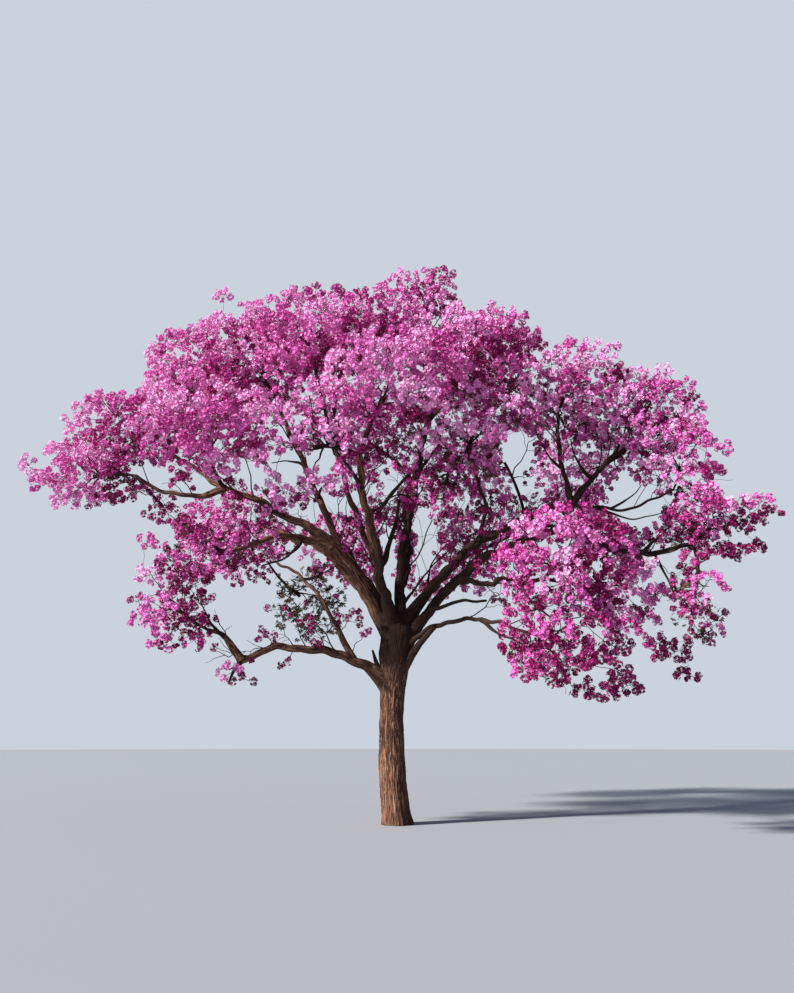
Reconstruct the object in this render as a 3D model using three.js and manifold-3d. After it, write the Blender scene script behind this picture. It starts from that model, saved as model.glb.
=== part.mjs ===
// A pink trumpet tree in full bloom, nearly bare of leaves: one trunk on a slight root flare, a wide fork of
// boughs at head height and more, and a broad dome of pink blossom that droops at both sides.
// Millimetres, +Z up, the origin in the middle of the flat cut at ground level, and -Y towards the viewer.
import * as THREE from "three";
import { mergeVertices } from "three/addons/utils/BufferGeometryUtils.js";
import Module from "manifold-3d";

const wasm = await Module();
wasm.setup();

// The trunk.
const TRUNK_HEIGHT = 4050;
const TRUNK_LEAN = 70; // how far the fork stands to the side of the foot
const TRUNK_BOW = -150; // how far the middle bows out to that side
const TRUNK_WAIST = 244; // radius at the slimmest place, WAIST_SHARE of the way up
const WAIST_SHARE = 0.5;
const TRUNK_FOOT = 302; // radius above the root flare
const FORK_SWELL = 118; // what the fork adds to the waist
const FLARE = 28; // what the root flare adds at the ground
const FLARE_HEIGHT = 160;
const FLARE_LOBES = 5;
const TRUNK_SIDES = 13;
const TRUNK_RINGS = 8;

// The boughs, each one bowed and tapering limb: what it springs from and how far along that, the heading of
// its tip in degrees from +X towards +Y, the climb of its tip in degrees, its reach to the tip, how far its
// middle arches up and swings aside as shares of the reach, and its radii at the foot and the tip.
const BOUGHS = {
  low_left: ["trunk", 0.66, -163, 8, 3180, 0.16, 0.01, 108, 66],
  low_left_end: ["low_left", 1, -178, 41, 940, 0.15, 0, 62, 38],
  left_upright: ["low_left", 0.27, 154, 45, 3190, 0.18, 0.05, 52, 28],
  left: ["trunk", 0.88, -160, 54, 2490, 0.06, -0.03, 190, 122],
  left_mid: ["left", 1, -157, -9, 2240, 0.11, 0, 88, 46],
  left_far: ["left", 1, -168, 26, 2600, 0.05, 0, 98, 60],
  left_tip: ["left_far", 1, 177, 9, 1950, -0.16, 0.03, 58, 38],
  left_upper: ["left_far", 1, 165, 35, 1920, -0.01, 0, 50, 36],
  left_high: ["trunk", 0.94, 173, 62, 6230, -0.06, 0.01, 125, 50],
  left_back: ["trunk", 0.92, 138, 34, 5780, 0.08, -0.04, 120, 60],
  centre_left: ["trunk", 0.95, 153, 69, 4970, -0.02, 0, 100, 54],
  centre_front: ["trunk", 0.93, -113, 59, 3920, -0.02, -0.03, 136, 70],
  centre_right: ["trunk", 0.96, 28, 81, 4950, -0.02, 0.07, 128, 72],
  back: ["trunk", 0.96, 85, 55, 5550, 0.04, -0.01, 100, 56],
  right_back: ["trunk", 0.97, 45, 33, 5730, 0.09, -0, 92, 56],
  right_high: ["trunk", 0.96, 7, 36, 4960, 0.12, 0.01, 108, 74],
  right_top: ["right_high", 1, 126, 84, 2360, -0.01, 0.06, 60, 42],
  right_out: ["right_high", 1, -4, 43, 2200, 0.08, 0.02, 66, 42],
  right_thin: ["right_high", 1, -26, 1, 2240, -0.12, 0, 42, 26],
  front_high: ["right_high", 0.45, -103, 36, 2350, -0.02, 0.1, 50, 34],
  right: ["trunk", 0.84, -12, 34, 4450, 0.13, 0, 120, 80],
  right_far: ["right", 1, 0, -7, 2650, -0.13, 0, 84, 50],
  right_front: ["right", 0.36, -59, -9, 2770, -0.02, 0.01, 62, 42],
  low_right: ["trunk", 0.83, -47, 4, 3160, 0.14, 0.07, 60, 36],
};
const WIGGLE = 0.014; // how far a limb strays from its arch, as a share of its reach
const WIGGLE_TURNS = 1.5;
const COLLAR = 0.45; // what the branch collar adds to a limb's foot, as a share of the foot's radius
const DOME_RING = [0.62, 0.62]; // a rounded tip's last ring: how far ahead and how wide, as shares of it
const RING_STEP = 700; // length of limb for each ring of its surface

// The masses of blossom: the bough whose tip each grows from, then the centre and the half sizes of the
// space that it keeps.
const MASSES = {
  left_tip: ["left_tip", -6850, -600, 7100, 1400, 1200, 800],
  left_tongue: ["left_upper", -6180, -300, 8330, 1350, 1300, 900],
  left_shoulder: ["left_upper", -4800, 500, 9980, 1400, 1700, 1150],
  left_dome: ["left_high", -3600, 1000, 10750, 1600, 1950, 1150],
  left_front: ["left_far", -3600, -2900, 7200, 1450, 1300, 950],
  left_inner: ["left_upper", -4300, -1300, 8470, 1450, 1250, 1000],
  left_under: ["left_tip", -5670, 1800, 7010, 620, 1200, 490],
  left_mid: ["left_mid", -3740, -1500, 5350, 920, 1150, 680],
  left_low: ["low_left_end", -4460, -1500, 4180, 860, 1200, 980],
  low_tip: ["low_left", -3150, -1000, 2970, 500, 620, 500],
  low_inner: ["left_upright", -2020, 900, 4540, 950, 1150, 860],
  centre_left: ["centre_front", -1850, -2700, 7050, 1400, 1150, 1450],
  centre_upper: ["centre_front", -100, -2600, 8420, 1500, 1300, 1080],
  centre_right: ["front_high", 1600, -2000, 7620, 1350, 1200, 1020],
  right_mid: ["front_high", 1050, 700, 7200, 1450, 1250, 1050],
  front_upper_left: ["centre_left", -1900, -1800, 9850, 1500, 1400, 1050],
  front_upper_right: ["centre_right", 1450, -1700, 9500, 1450, 1400, 1000],
  top_left: ["centre_left", -1200, 800, 11270, 1450, 1800, 1080],
  top: ["centre_right", 500, 800, 11730, 1350, 1900, 1050],
  right_top: ["centre_right", 2330, 800, 10600, 1400, 1700, 1080],
  right_shoulder: ["right_top", 4080, 600, 9650, 1500, 1800, 1080],
  right_dome: ["right_out", 5770, 300, 8900, 1350, 1500, 1130],
  right_outer: ["right_thin", 6150, -800, 7420, 1050, 1200, 1000],
  right_inner: ["right_out", 4650, 1500, 7750, 1350, 1200, 1000],
  right_far: ["right_far", 6780, -800, 6090, 1270, 1200, 570],
  right_far_low: ["right_far", 6100, -1000, 4370, 610, 1100, 1220],
  right_front: ["right_front", 2950, -3400, 4750, 1400, 1250, 880],
  right_bottom: ["low_right", 2900, -3100, 3280, 1300, 1200, 1050],
  right_low: ["right_front", 4340, -2100, 4200, 800, 1100, 720],
  back_left: ["left_back", -4400, 3900, 6800, 1700, 1600, 1350],
  back_low: ["back", -1200, 5400, 6900, 1700, 1500, 1150],
  back_high: ["back", -1100, 3400, 9700, 1900, 1600, 1300],
  back_right_low: ["right_back", 1500, 4800, 6300, 1650, 1500, 1150],
  back_right_high: ["right_back", 2800, 3400, 9300, 1600, 1500, 1150],
  far_right_back: ["right_back", 5800, 2900, 6900, 1500, 1450, 1150],
};

// Lanes of open sky through the crown, seen from where a viewer stands: the middle of each lane at the
// trunk, as x and z, and its half width and half height there.
const VIEWER = new THREE.Vector3(0, -17050, 1600);
const LANES = [
  [2750, 7850, 340, 430],
  [5300, 6650, 580, 430],
  [620, 5800, 170, 800],
  [1400, 4250, 450, 220],
  [-200, 5500, 130, 550],
  [-150, 6980, 150, 140],
  [-1620, 7800, 260, 280],
  [-2450, 7500, 230, 230],
  [-3240, 7350, 260, 200],
];

// The twigs and the sprays of blossom.
const SPRAYS_PER_M2 = 0.65; // sprays for each square metre of a mass's surface
const SPRAY_RADIUS = 395;
const SPRAY_SHRINKS = [0.74, 1.06]; // least and greatest scale of the sprays in masses of different height
const SPRAY_VARIES = 0.14;
const SPRAY_FLATTEN = 0.78;
const SPRAY_TILT = 0.5; // greatest tilt of a spray, in radians
const SPRAY_OVERLAP = 0.2; // how far two sprays of a mass may draw together, as a share of their radius
const SPRAY_CLEAR = 12; // least gap from a spray to a limb or a stem
const SPACE_MARGIN = 0.02; // clear share between two masses' spaces
const CHOICES = 90; // places tried for each spray, of which the emptiest is taken
const STEM_SHARE = 0.8; // how much of the way to its mass's centre a stem runs
const STEM_FOOT = 60;
const STEM_TIP = 38;
const STEM_BEND = 0.16; // how far a stem keeps to its bough's direction, as a share of its length
const STEM_IN_BOUGH = 0.78; // greatest radius of a stem's foot, as a share of its bough's tip
const STEM_PIECES = 2;
const STEM_SIDES = 4;
const TWIG_SIDES = 3;
const TWIG_LEAST = 6;
const TWIG_TO_STEM = 0.66; // a twig's radius where it leaves a stem, as a share of the stem's
const TWIG_TO_TWIG = 0.48; // the same where it leaves another twig
const TWIG_LEAVES_BEFORE = 0.62; // furthest place along a twig at which another leaves it
const TWIG_BACKSET = 0.35; // how far back down the wood a twig leaves, as a share of its distance
const TWIG_ORDER_COST = 260; // how much nearer a twig of one more order must be to be chosen
const TWIG_STRIDE = 90; // distance between the points at which a twig is tested
const SPRAY_SEATED = 0.35; // a spray this near to its wood, as a share of its radius, needs no twig
const TWIG_CLEAR = 30; // least gap from a twig to a limb or another stem
const GAP = 0.3; // clear gap between pieces that touch
const GOLDEN_ANGLE = Math.PI * (3 - Math.sqrt(5));

const UP = new THREE.Vector3(0, 0, 1);

const bark = new THREE.MeshStandardMaterial({ color: 0x6b4e3a, roughness: 0.95, metalness: 0 });
const blossom = new THREE.MeshStandardMaterial({ color: 0xe05fa6, roughness: 0.7, metalness: 0 });

// A seeded stream of numbers from 0 to 1.
function randomFrom(seed) {
  let state = seed >>> 0;
  return () => {
    state = (state + 0x6d2b79f5) >>> 0;
    let mixed = Math.imul(state ^ (state >>> 15), 1 | state);
    mixed = (mixed + Math.imul(mixed ^ (mixed >>> 7), 61 | mixed)) ^ mixed;
    return ((mixed ^ (mixed >>> 14)) >>> 0) / 4294967296;
  };
}

// The centre line of a limb: a straight reach from its foot that is bowed up and aside, and strays a little.
class LimbLine extends THREE.Curve {
  constructor(foot, heading, climb, reach, arch, swing, phase) {
    super();
    const turn = THREE.MathUtils.degToRad(heading);
    const lift = THREE.MathUtils.degToRad(climb);
    this.foot = foot;
    this.chord = new THREE.Vector3(
      Math.cos(turn) * Math.cos(lift),
      Math.sin(turn) * Math.cos(lift),
      Math.sin(lift),
    ).multiplyScalar(reach);
    this.side = new THREE.Vector3(-Math.sin(turn), Math.cos(turn), 0);
    this.reach = reach;
    this.arch = arch;
    this.swing = swing;
    this.phase = phase;
  }

  getPoint(t, target = new THREE.Vector3()) {
    const bow = 4 * t * (1 - t) * this.reach;
    const stray = WIGGLE * this.reach * Math.sin(Math.PI * t);
    const angle = 2 * Math.PI * WIGGLE_TURNS * t + this.phase;
    return target
      .copy(this.foot)
      .addScaledVector(this.chord, t)
      .addScaledVector(UP, this.arch * bow + stray * Math.sin(angle))
      .addScaledVector(this.side, this.swing * bow + stray * Math.cos(angle));
  }
}

// The centre line of the trunk. Its rings lie level, so that it ends in a level cut at the ground.
class TrunkLine extends THREE.Curve {
  getPoint(t, target = new THREE.Vector3()) {
    return target.set(TRUNK_LEAN * t + TRUNK_BOW * 4 * t * (1 - t), 0, TRUNK_HEIGHT * t);
  }

  getTangent(t, target = new THREE.Vector3()) {
    return target.copy(UP);
  }
}

// The trunk's radius: slimmest at the waist, wider to the foot and to the fork.
function trunkRadius(t) {
  const below = Math.max(0, (WAIST_SHARE - t) / WAIST_SHARE);
  const above = Math.max(0, (t - WAIST_SHARE) / (1 - WAIST_SHARE));
  const swell = THREE.MathUtils.smoothstep(above, 0, 0.85);
  return TRUNK_WAIST + (TRUNK_FOOT - TRUNK_WAIST) * below ** 0.8 + FORK_SWELL * swell;
}

// A limb's radius at a share of its reach, with the collar where it springs.
function limbRadius(limb, t) {
  const collar = COLLAR * limb.rFoot * Math.exp((-t * limb.line.reach) / (1.6 * limb.rFoot));
  return THREE.MathUtils.lerp(limb.rFoot, limb.rTip, t ** 0.85) + collar * (limb.rFoot > 70 ? 1 : 0.4);
}

// A closed body of rings along a line, ending in a dome; a closed cylinder is bent to it. A grown body is
// larger all round.
function body(line, radiusAt, shares, sides, domed, grown, shape = () => 0) {
  const tip = radiusAt(1);
  const dome = domed ? [DOME_RING] : [];
  const rings = shares.length + dome.length;
  const geometry = new THREE.CylinderGeometry(1, 1, 1, sides, rings - 1);
  const place = geometry.attributes.position;
  const frames = shares.map((t) => ({ point: line.getPoint(t), along: line.getTangent(t), t }));
  let normal = new THREE.Vector3(1, 0, 0);
  if (Math.abs(frames[0].along.x) > 0.8) normal.set(0, 1, 0);
  for (const frame of frames) {
    normal = normal.clone().addScaledVector(frame.along, -normal.dot(frame.along)).normalize();
    frame.normal = normal;
    frame.binormal = new THREE.Vector3().crossVectors(frame.along, normal);
    frame.radius = radiusAt(frame.t) + grown;
  }
  const last = frames[frames.length - 1];
  frames[0].point.addScaledVector(frames[0].along, -grown);
  last.point.addScaledVector(last.along, grown);
  for (const [ahead, share] of dome) {
    frames.push({
      ...last,
      point: last.point.clone().addScaledVector(last.along, ahead * tip),
      radius: tip * share + grown,
    });
  }
  const here = new THREE.Vector3();
  for (let i = 0; i < place.count; i++) {
    here.fromBufferAttribute(place, i);
    const frame = frames[Math.round((here.y + 0.5) * (rings - 1))];
    const angle = Math.atan2(here.x, here.z);
    const radius = Math.hypot(here.x, here.z) < 0.5 ? 0 : frame.radius + shape(frame.t, angle);
    const spot = frame.point.clone();
    spot.addScaledVector(frame.binormal, radius * Math.sin(angle));
    spot.addScaledVector(frame.normal, radius * Math.cos(angle));
    place.setXYZ(i, spot.x, spot.y, spot.z);
  }
  return geometry;
}

// A mesh as a solid that manifold-3d can join and cut.
function solidOf(geometry) {
  const bare = new THREE.BufferGeometry()
    .setAttribute("position", geometry.getAttribute("position"))
    .setIndex(geometry.index);
  const merged = mergeVertices(bare, 1e-3);
  const corners = merged.index.array;
  const kept = [];
  for (let i = 0; i < corners.length; i += 3)
    if (corners[i] !== corners[i + 1] && corners[i + 1] !== corners[i + 2] && corners[i] !== corners[i + 2])
      kept.push(corners[i], corners[i + 1], corners[i + 2]);
  const solid = new wasm.Manifold(
    new wasm.Mesh({
      numProp: 3,
      vertProperties: new Float32Array(merged.attributes.position.array),
      triVerts: new Uint32Array(kept),
    }),
  );
  return solid;
}

// The largest body of a solid, as a three.js geometry.
function largestBody(solid) {
  return solid.decompose().reduce((best, one) => (one.volume() > best.volume() ? one : best));
}

function geometryOf(solid) {
  const mesh = solid.getMesh();
  const geometry = new THREE.BufferGeometry();
  geometry.setAttribute("position", new THREE.BufferAttribute(new Float32Array(mesh.vertProperties), 3));
  geometry.setIndex(new THREE.BufferAttribute(new Uint32Array(mesh.triVerts), 1));
  geometry.computeVertexNormals();
  return geometry;
}

function named(name, solid, material) {
  const mesh = new THREE.Mesh(geometryOf(solid), material);
  mesh.name = name;
  return mesh;
}

function boxOf(solid, grown = 0) {
  const { min, max } = solid.boundingBox();
  return new THREE.Box3(new THREE.Vector3(...min), new THREE.Vector3(...max)).expandByScalar(grown);
}

// A solid with everything taken away that stands where it would go.
function cutClearOf(solid, others) {
  let left = solid;
  for (const other of others) if (boxOf(left).intersectsBox(boxOf(other))) left = left.subtract(other);
  return largestBody(left);
}

// The trunk, with the lobes of its root flare. The grown copy is what its neighbours are cut by.
function makeTrunk() {
  const line = new TrunkLine();
  const low = [0, 0.022, 0.06, 0.12];
  const rings = Array.from({ length: TRUNK_RINGS }, (_, i) => 0.2 + (0.8 * i) / (TRUNK_RINGS - 1));
  const flare = (t, angle) =>
    FLARE * Math.exp((-t * TRUNK_HEIGHT) / FLARE_HEIGHT) * (1 + 0.35 * Math.cos(FLARE_LOBES * angle + 1));
  const shares = [...low, ...rings];
  const made = (grown) => solidOf(body(line, trunkRadius, shares, TRUNK_SIDES, true, grown, flare));
  const wood = { line, rFoot: TRUNK_FOOT, rTip: trunkRadius(1), radius: trunkRadius };
  return { ...wood, solid: made(0), grown: made(GAP * 1.4) };
}

// Every bough in turn, cut clear of the wood that is there before it.
function makeBoughs(trunk) {
  const limbs = { trunk };
  Object.entries(BOUGHS).forEach(([name, sizes], index) => {
    const [from, at, heading, climb, reach, arch, swing, rFoot, rTip] = sizes;
    const foot = limbs[from].line.getPoint(at);
    const line = new LimbLine(foot, heading, climb, reach, arch, swing, index * GOLDEN_ANGLE);
    const limb = { line, rFoot, rTip };
    limb.radius = (t) => limbRadius(limb, t);
    const steps = THREE.MathUtils.clamp(Math.round(reach / RING_STEP), 3, 7);
    const shares = Array.from({ length: steps + 1 }, (_, i) => (i / steps) ** 1.15);
    const sides = rFoot > 130 ? 8 : 6;
    const made = (grown) => solidOf(body(line, limb.radius, shares, sides, true, grown));
    limb.solid = cutClearOf(made(0), Object.values(limbs).map((other) => other.grown));
    limb.grown = made(GAP * 1.5);
    limbs[name] = limb;
  });
  return limbs;
}

// How far out in its space a point of the crown lies, as a share of its half sizes: under 1 is inside.
function shareOut(mass, point) {
  const x = (point.x - mass.centre.x) / mass.half.x;
  const y = (point.y - mass.centre.y) / mass.half.y;
  const z = (point.z - mass.centre.z) / mass.half.z;
  return Math.sqrt(x * x + y * y + z * z);
}

// Whether a point lies in the mass's own space: inside its half sizes, and further out of every other mass.
function owns(mass, masses, point) {
  const own = shareOut(mass, point);
  return own <= 1 && masses.every((other) => other === mass || shareOut(other, point) > own + SPACE_MARGIN);
}

function inLane(point, margin) {
  const share = -VIEWER.y / (point.y - VIEWER.y);
  const x = VIEWER.x + (point.x - VIEWER.x) * share;
  const z = VIEWER.z + (point.z - VIEWER.z) * share;
  return LANES.some(([midX, midZ, halfX, halfZ]) => {
    const across = (x - midX) / (halfX + margin);
    const up = (z - midZ) / (halfZ + margin);
    return across * across + up * up < 1;
  });
}

function nearestOn(a, b, point) {
  const along = new THREE.Vector3().subVectors(b, a);
  const share = new THREE.Vector3().subVectors(point, a).dot(along) / along.lengthSq();
  const t = THREE.MathUtils.clamp(share, 0, 1);
  return { t, point: a.clone().addScaledVector(along, t) };
}

// Every limb as short straight pieces with a radius, for tests of distance.
function limbPieces(limbs) {
  const pieces = [];
  for (const limb of Object.values(limbs)) {
    const steps = 8;
    for (let i = 0; i < steps; i++) {
      const [from, to] = [i / steps, (i + 1) / steps];
      pieces.push({ a: limb.line.getPoint(from), b: limb.line.getPoint(to), r: limb.radius(from) });
    }
  }
  return pieces;
}

function clearOf(pieces, point, radius) {
  return pieces.every(({ a, b, r }) => nearestOn(a, b, point).point.distanceTo(point) > r + radius);
}

// The stem of a mass: from its bough's tip towards the middle of its space, easing out of the bough's line.
function stemLine(mass, limb) {
  const root = limb.line.getPoint(1);
  const end = root.clone().lerp(mass.centre, STEM_SHARE);
  const bend = root.clone().lerp(end, 0.5);
  bend.addScaledVector(limb.line.getTangent(1), end.distanceTo(root) * STEM_BEND);
  return new THREE.QuadraticBezierCurve3(root, bend, end);
}

function stemRadius(mass, t) {
  return THREE.MathUtils.lerp(mass.stemFoot, STEM_TIP, t);
}

// The places on an eight-faced body at which a spray is tested: its points, edges and faces.
const STEPS = [-1, 0, 1];
const PROBES = STEPS.flatMap((x) => STEPS.flatMap((y) => STEPS.map((z) => new THREE.Vector3(x, y, z)))).map(
  (probe) => probe.divideScalar(Math.max(1, probe.manhattanLength())),
);

// Where a mass's sprays stand: the emptiest of a few seeded places each time.
function placeSprays(mass, masses, obstacles, random) {
  const { x: a, y: b, z: c } = mass.half.clone().divideScalar(1000);
  const area = 4 * Math.PI * (((a * b) ** 1.6 + (a * c) ** 1.6 + (b * c) ** 1.6) / 3) ** (1 / 1.6);
  const scale = THREE.MathUtils.clamp(mass.half.z / 1000, ...SPRAY_SHRINKS);
  const wanted = Math.round((area * SPRAYS_PER_M2) / scale);
  const sprays = [];
  for (let n = 0; n < wanted; n++) {
    const radius = SPRAY_RADIUS * scale * (1 + SPRAY_VARIES * (2 * random() - 1));
    let best = null;
    for (let choice = 0; choice < CHOICES; choice++) {
      const height = 2 * random() - 1;
      const turn = 2 * Math.PI * random();
      const out = random() ** 0.4;
      const level = Math.sqrt(1 - height * height);
      const spot = new THREE.Vector3(Math.cos(turn) * level, Math.sin(turn) * level, height)
        .multiply(mass.half)
        .multiplyScalar(out)
        .add(mass.centre);
      const turned = new THREE.Matrix4().makeRotationFromEuler(
        new THREE.Euler(SPRAY_TILT * (2 * random() - 1), 0, 2 * Math.PI * random(), "ZYX"),
      );
      const size = new THREE.Vector3(radius, radius, radius * SPRAY_FLATTEN);
      const placed = turned.scale(size).setPosition(spot);
      if (inLane(spot, radius * 0.8)) continue;
      if (!PROBES.every((probe) => owns(mass, masses, probe.clone().applyMatrix4(placed)))) continue;
      if (!clearOf(obstacles, spot, radius + SPRAY_CLEAR)) continue;
      const gaps = sprays.map((other) => other.at.distanceTo(spot) - other.radius - radius);
      const room = Math.min(2000, ...gaps);
      if (!best || room > best.room) best = { at: spot, radius, room, placed };
    }
    if (best && best.room > -radius * SPRAY_OVERLAP) sprays.push(best);
  }
  return sprays;
}

// The twigs of a mass: each spray in turn, nearest first, is reached from the nearest wood that stands
// already, with the stem put before the twigs and a lower order of twig before a higher one.
function growTwigs(mass, masses, sprays, obstacles) {
  const wood = [...mass.stemPieces];
  const root = wood[0].a;
  const kept = [];
  const order = [...sprays].sort((p, q) => p.at.distanceTo(root) - q.at.distanceTo(root));
  for (const spray of order) {
    let best = null;
    for (const piece of wood) {
      const near = nearestOn(piece.a, piece.b, spray.at);
      const back = (TWIG_BACKSET * near.point.distanceTo(spray.at)) / piece.a.distanceTo(piece.b);
      const first = piece.order > 0 ? 0.15 : piece.a === root ? 0.5 : 0.05;
      const last = piece.order > 0 ? TWIG_LEAVES_BEFORE : 0.95;
      const t = THREE.MathUtils.clamp(near.t - back, first, last);
      const leave = piece.a.clone().lerp(piece.b, t);
      const cost = leave.distanceTo(spray.at) + TWIG_ORDER_COST * piece.order;
      const radius = THREE.MathUtils.lerp(piece.rA, piece.rB, t);
      if (!best || cost < best.cost) best = { cost, leave, piece, radius };
    }
    const { leave, piece } = best;
    kept.push(spray);
    if (leave.distanceTo(spray.at) < SPRAY_SEATED * spray.radius) continue;
    const steps = Math.max(2, Math.round(leave.distanceTo(spray.at) / TWIG_STRIDE));
    const spots = Array.from({ length: steps }, (_, i) => leave.clone().lerp(spray.at, (i + 0.5) / steps));
    const inPlace = (spot) =>
      clearOf(obstacles, spot, TWIG_CLEAR) && (piece.order === 0 || owns(mass, masses, spot));
    if (!spots.every(inPlace)) {
      kept.pop();
      continue;
    }
    const rA = Math.max(TWIG_LEAST, best.radius * (piece.order === 0 ? TWIG_TO_STEM : TWIG_TO_TWIG));
    wood.push({ a: leave, b: spray.at, rA, rB: 0, order: piece.order + 1 });
  }
  return { wood, kept };
}

// A twig that tapers from where it leaves its wood to a point in the middle of its spray.
function twigBody({ a, b, rA }) {
  const geometry = new THREE.ConeGeometry(rA, a.distanceTo(b), TWIG_SIDES);
  const along = new THREE.Vector3().subVectors(b, a).normalize();
  geometry.applyQuaternion(new THREE.Quaternion().setFromUnitVectors(new THREE.Vector3(0, 1, 0), along));
  return geometry.translate((a.x + b.x) / 2, (a.y + b.y) / 2, (a.z + b.z) / 2);
}

// A mass's stem as one bent body; the grown copy is what later stems are cut by.
function stemSolid(mass, grown) {
  const shares = [0, ...mass.stemPieces.map((piece, i) => (i + 1) / STEM_PIECES)];
  return solidOf(body(mass.stem, (t) => stemRadius(mass, t), shares, STEM_SIDES, false, grown));
}

// One mass as one solid: stem, twigs and sprays fused, and the stem's foot cut clear of its bough.
function massSolid(mass, grown, cutters) {
  const twigs = grown.wood.slice(STEM_PIECES).map((piece) => solidOf(twigBody(piece)));
  const sprayBody = ({ placed }) => solidOf(new THREE.OctahedronGeometry(1, 0).applyMatrix4(placed));
  const sprays = grown.kept.map(sprayBody);
  return cutClearOf(wasm.Manifold.union([stemSolid(mass, 0), ...twigs, ...sprays]), cutters);
}

function makeMasses(limbs) {
  const masses = Object.entries(MASSES).map(([name, [bough, x, y, z, halfX, halfY, halfZ]]) => ({
    name,
    bough,
    centre: new THREE.Vector3(x, y, z),
    half: new THREE.Vector3(halfX, halfY, halfZ),
  }));
  for (const mass of masses) {
    const limb = limbs[mass.bough];
    mass.stem = stemLine(mass, limb);
    mass.stemFoot = Math.min(STEM_FOOT, STEM_IN_BOUGH * limb.rTip);
    mass.stemPieces = Array.from({ length: STEM_PIECES }, (_, i) => {
      const [from, to] = [i / STEM_PIECES, (i + 1) / STEM_PIECES];
      const [rA, rB] = [stemRadius(mass, from), stemRadius(mass, to)];
      return { a: mass.stem.getPoint(from), b: mass.stem.getPoint(to), r: rA, rA, rB, order: 0 };
    });
  }
  const boughPieces = limbPieces(limbs);
  const cutters = Object.values(limbs).map((limb) => limb.grown);
  masses.forEach((mass, index) => {
    const random = randomFrom(101 + 7 * index);
    const others = masses.filter((other) => other !== mass);
    const obstacles = [...boughPieces, ...others.flatMap((other) => other.stemPieces)];
    const sprays = placeSprays(mass, masses, obstacles, random);
    const grown = growTwigs(mass, masses, sprays, obstacles);
    mass.solid = massSolid(mass, grown, cutters);
    mass.sprays = grown.kept.length;
    cutters.push(stemSolid(mass, GAP * 2));
  });
  return masses;
}

const trunk = makeTrunk();
const limbs = makeBoughs(trunk);
const masses = makeMasses(limbs);

const tree = new THREE.Group();
tree.add(named("trunk", trunk.solid, bark));
for (const name of Object.keys(BOUGHS)) tree.add(named(`bough_${name}`, limbs[name].solid, bark));
for (const mass of masses) tree.add(named(`mass_${mass.name}`, mass.solid, blossom));

export default tree;
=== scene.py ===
# %% [markdown]
# A pink trumpet tree in full bloom, about 13 m high and 16 m wide.
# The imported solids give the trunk, the boughs and the masses of blossom. Here the bark gets its relief, and
# each mass becomes twigs and flowers that grow by the same rule as the solids, carried on to finer wood.
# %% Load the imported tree
import math

import bpy
import numpy as np
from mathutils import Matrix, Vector


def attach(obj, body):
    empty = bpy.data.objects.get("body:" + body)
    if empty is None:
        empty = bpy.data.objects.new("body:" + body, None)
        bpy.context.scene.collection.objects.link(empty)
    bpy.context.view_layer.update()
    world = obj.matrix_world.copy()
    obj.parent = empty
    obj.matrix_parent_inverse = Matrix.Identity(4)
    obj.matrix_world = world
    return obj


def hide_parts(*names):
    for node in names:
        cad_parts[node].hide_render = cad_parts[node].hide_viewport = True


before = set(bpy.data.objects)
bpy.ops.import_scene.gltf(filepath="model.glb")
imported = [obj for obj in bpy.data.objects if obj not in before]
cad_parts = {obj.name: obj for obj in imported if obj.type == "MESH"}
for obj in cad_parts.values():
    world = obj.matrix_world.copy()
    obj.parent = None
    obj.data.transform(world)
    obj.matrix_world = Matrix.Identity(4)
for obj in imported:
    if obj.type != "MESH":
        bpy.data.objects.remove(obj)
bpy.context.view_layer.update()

# %% [markdown]
# The camera stands where a viewer 1.6 m tall would stand, 17 m from the trunk, and looks up a little. A lens
# is a focal length against the sensor's long side, so a focal length in pixels turns into millimetres here.
# One small function makes a new object and links it to the scene; most objects of this lesson come from it.
# %% Camera
PHOTO = (794, 993)
FOCAL_PIXELS = 795
EYE = (0.0, -17.05, 1.6)
LOOKS_UP = 17.06
SEES_TO = 400  # m


def put_in_scene(name, data):
    made = bpy.data.objects.new(name, data)
    bpy.context.scene.collection.objects.link(made)
    return made


camera = put_in_scene("camera", bpy.data.cameras.new("camera"))
camera.data.sensor_width = 36
camera.data.lens = camera.data.sensor_width * FOCAL_PIXELS / PHOTO[1]
camera.location = EYE
camera.rotation_euler = (math.radians(90 + LOOKS_UP), 0, 0)
camera.data.clip_end = SEES_TO
bpy.context.scene.camera = camera
print("lens", round(camera.data.lens, 2), "mm")

# %% [markdown]
# The sizes of the wood, in millimetres, as the solids have them. Each bough is one bowed and tapering limb.
# Its row says what it springs from and how far along that, the heading and the climb of its tip in degrees,
# its reach, how far its middle arches up and swings aside as shares of the reach, and its radii at the foot
# and the tip.
# %% Sizes of the trunk and the boughs
MM = 0.001
TRUNK_HEIGHT = 4050 * MM
TRUNK_LEAN = 70 * MM  # how far the fork stands to the side of the foot
TRUNK_BOW = -150 * MM  # how far the middle bows out to that side
TRUNK_WAIST = 244 * MM  # radius at the slimmest place, WAIST_SHARE of the way up
WAIST_SHARE = 0.5
TRUNK_FOOT = 302 * MM  # radius above the root flare
FOOT_CURVE = 0.8
FORK_SWELL = 118 * MM  # what the fork adds to the waist
SWELL_SHARE = 0.85  # how much of the way from the waist to the top the swell takes
FLARE = 28 * MM  # what the root flare adds at the ground
FLARE_HEIGHT = 160 * MM
FLARE_LOBES = 5
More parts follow.
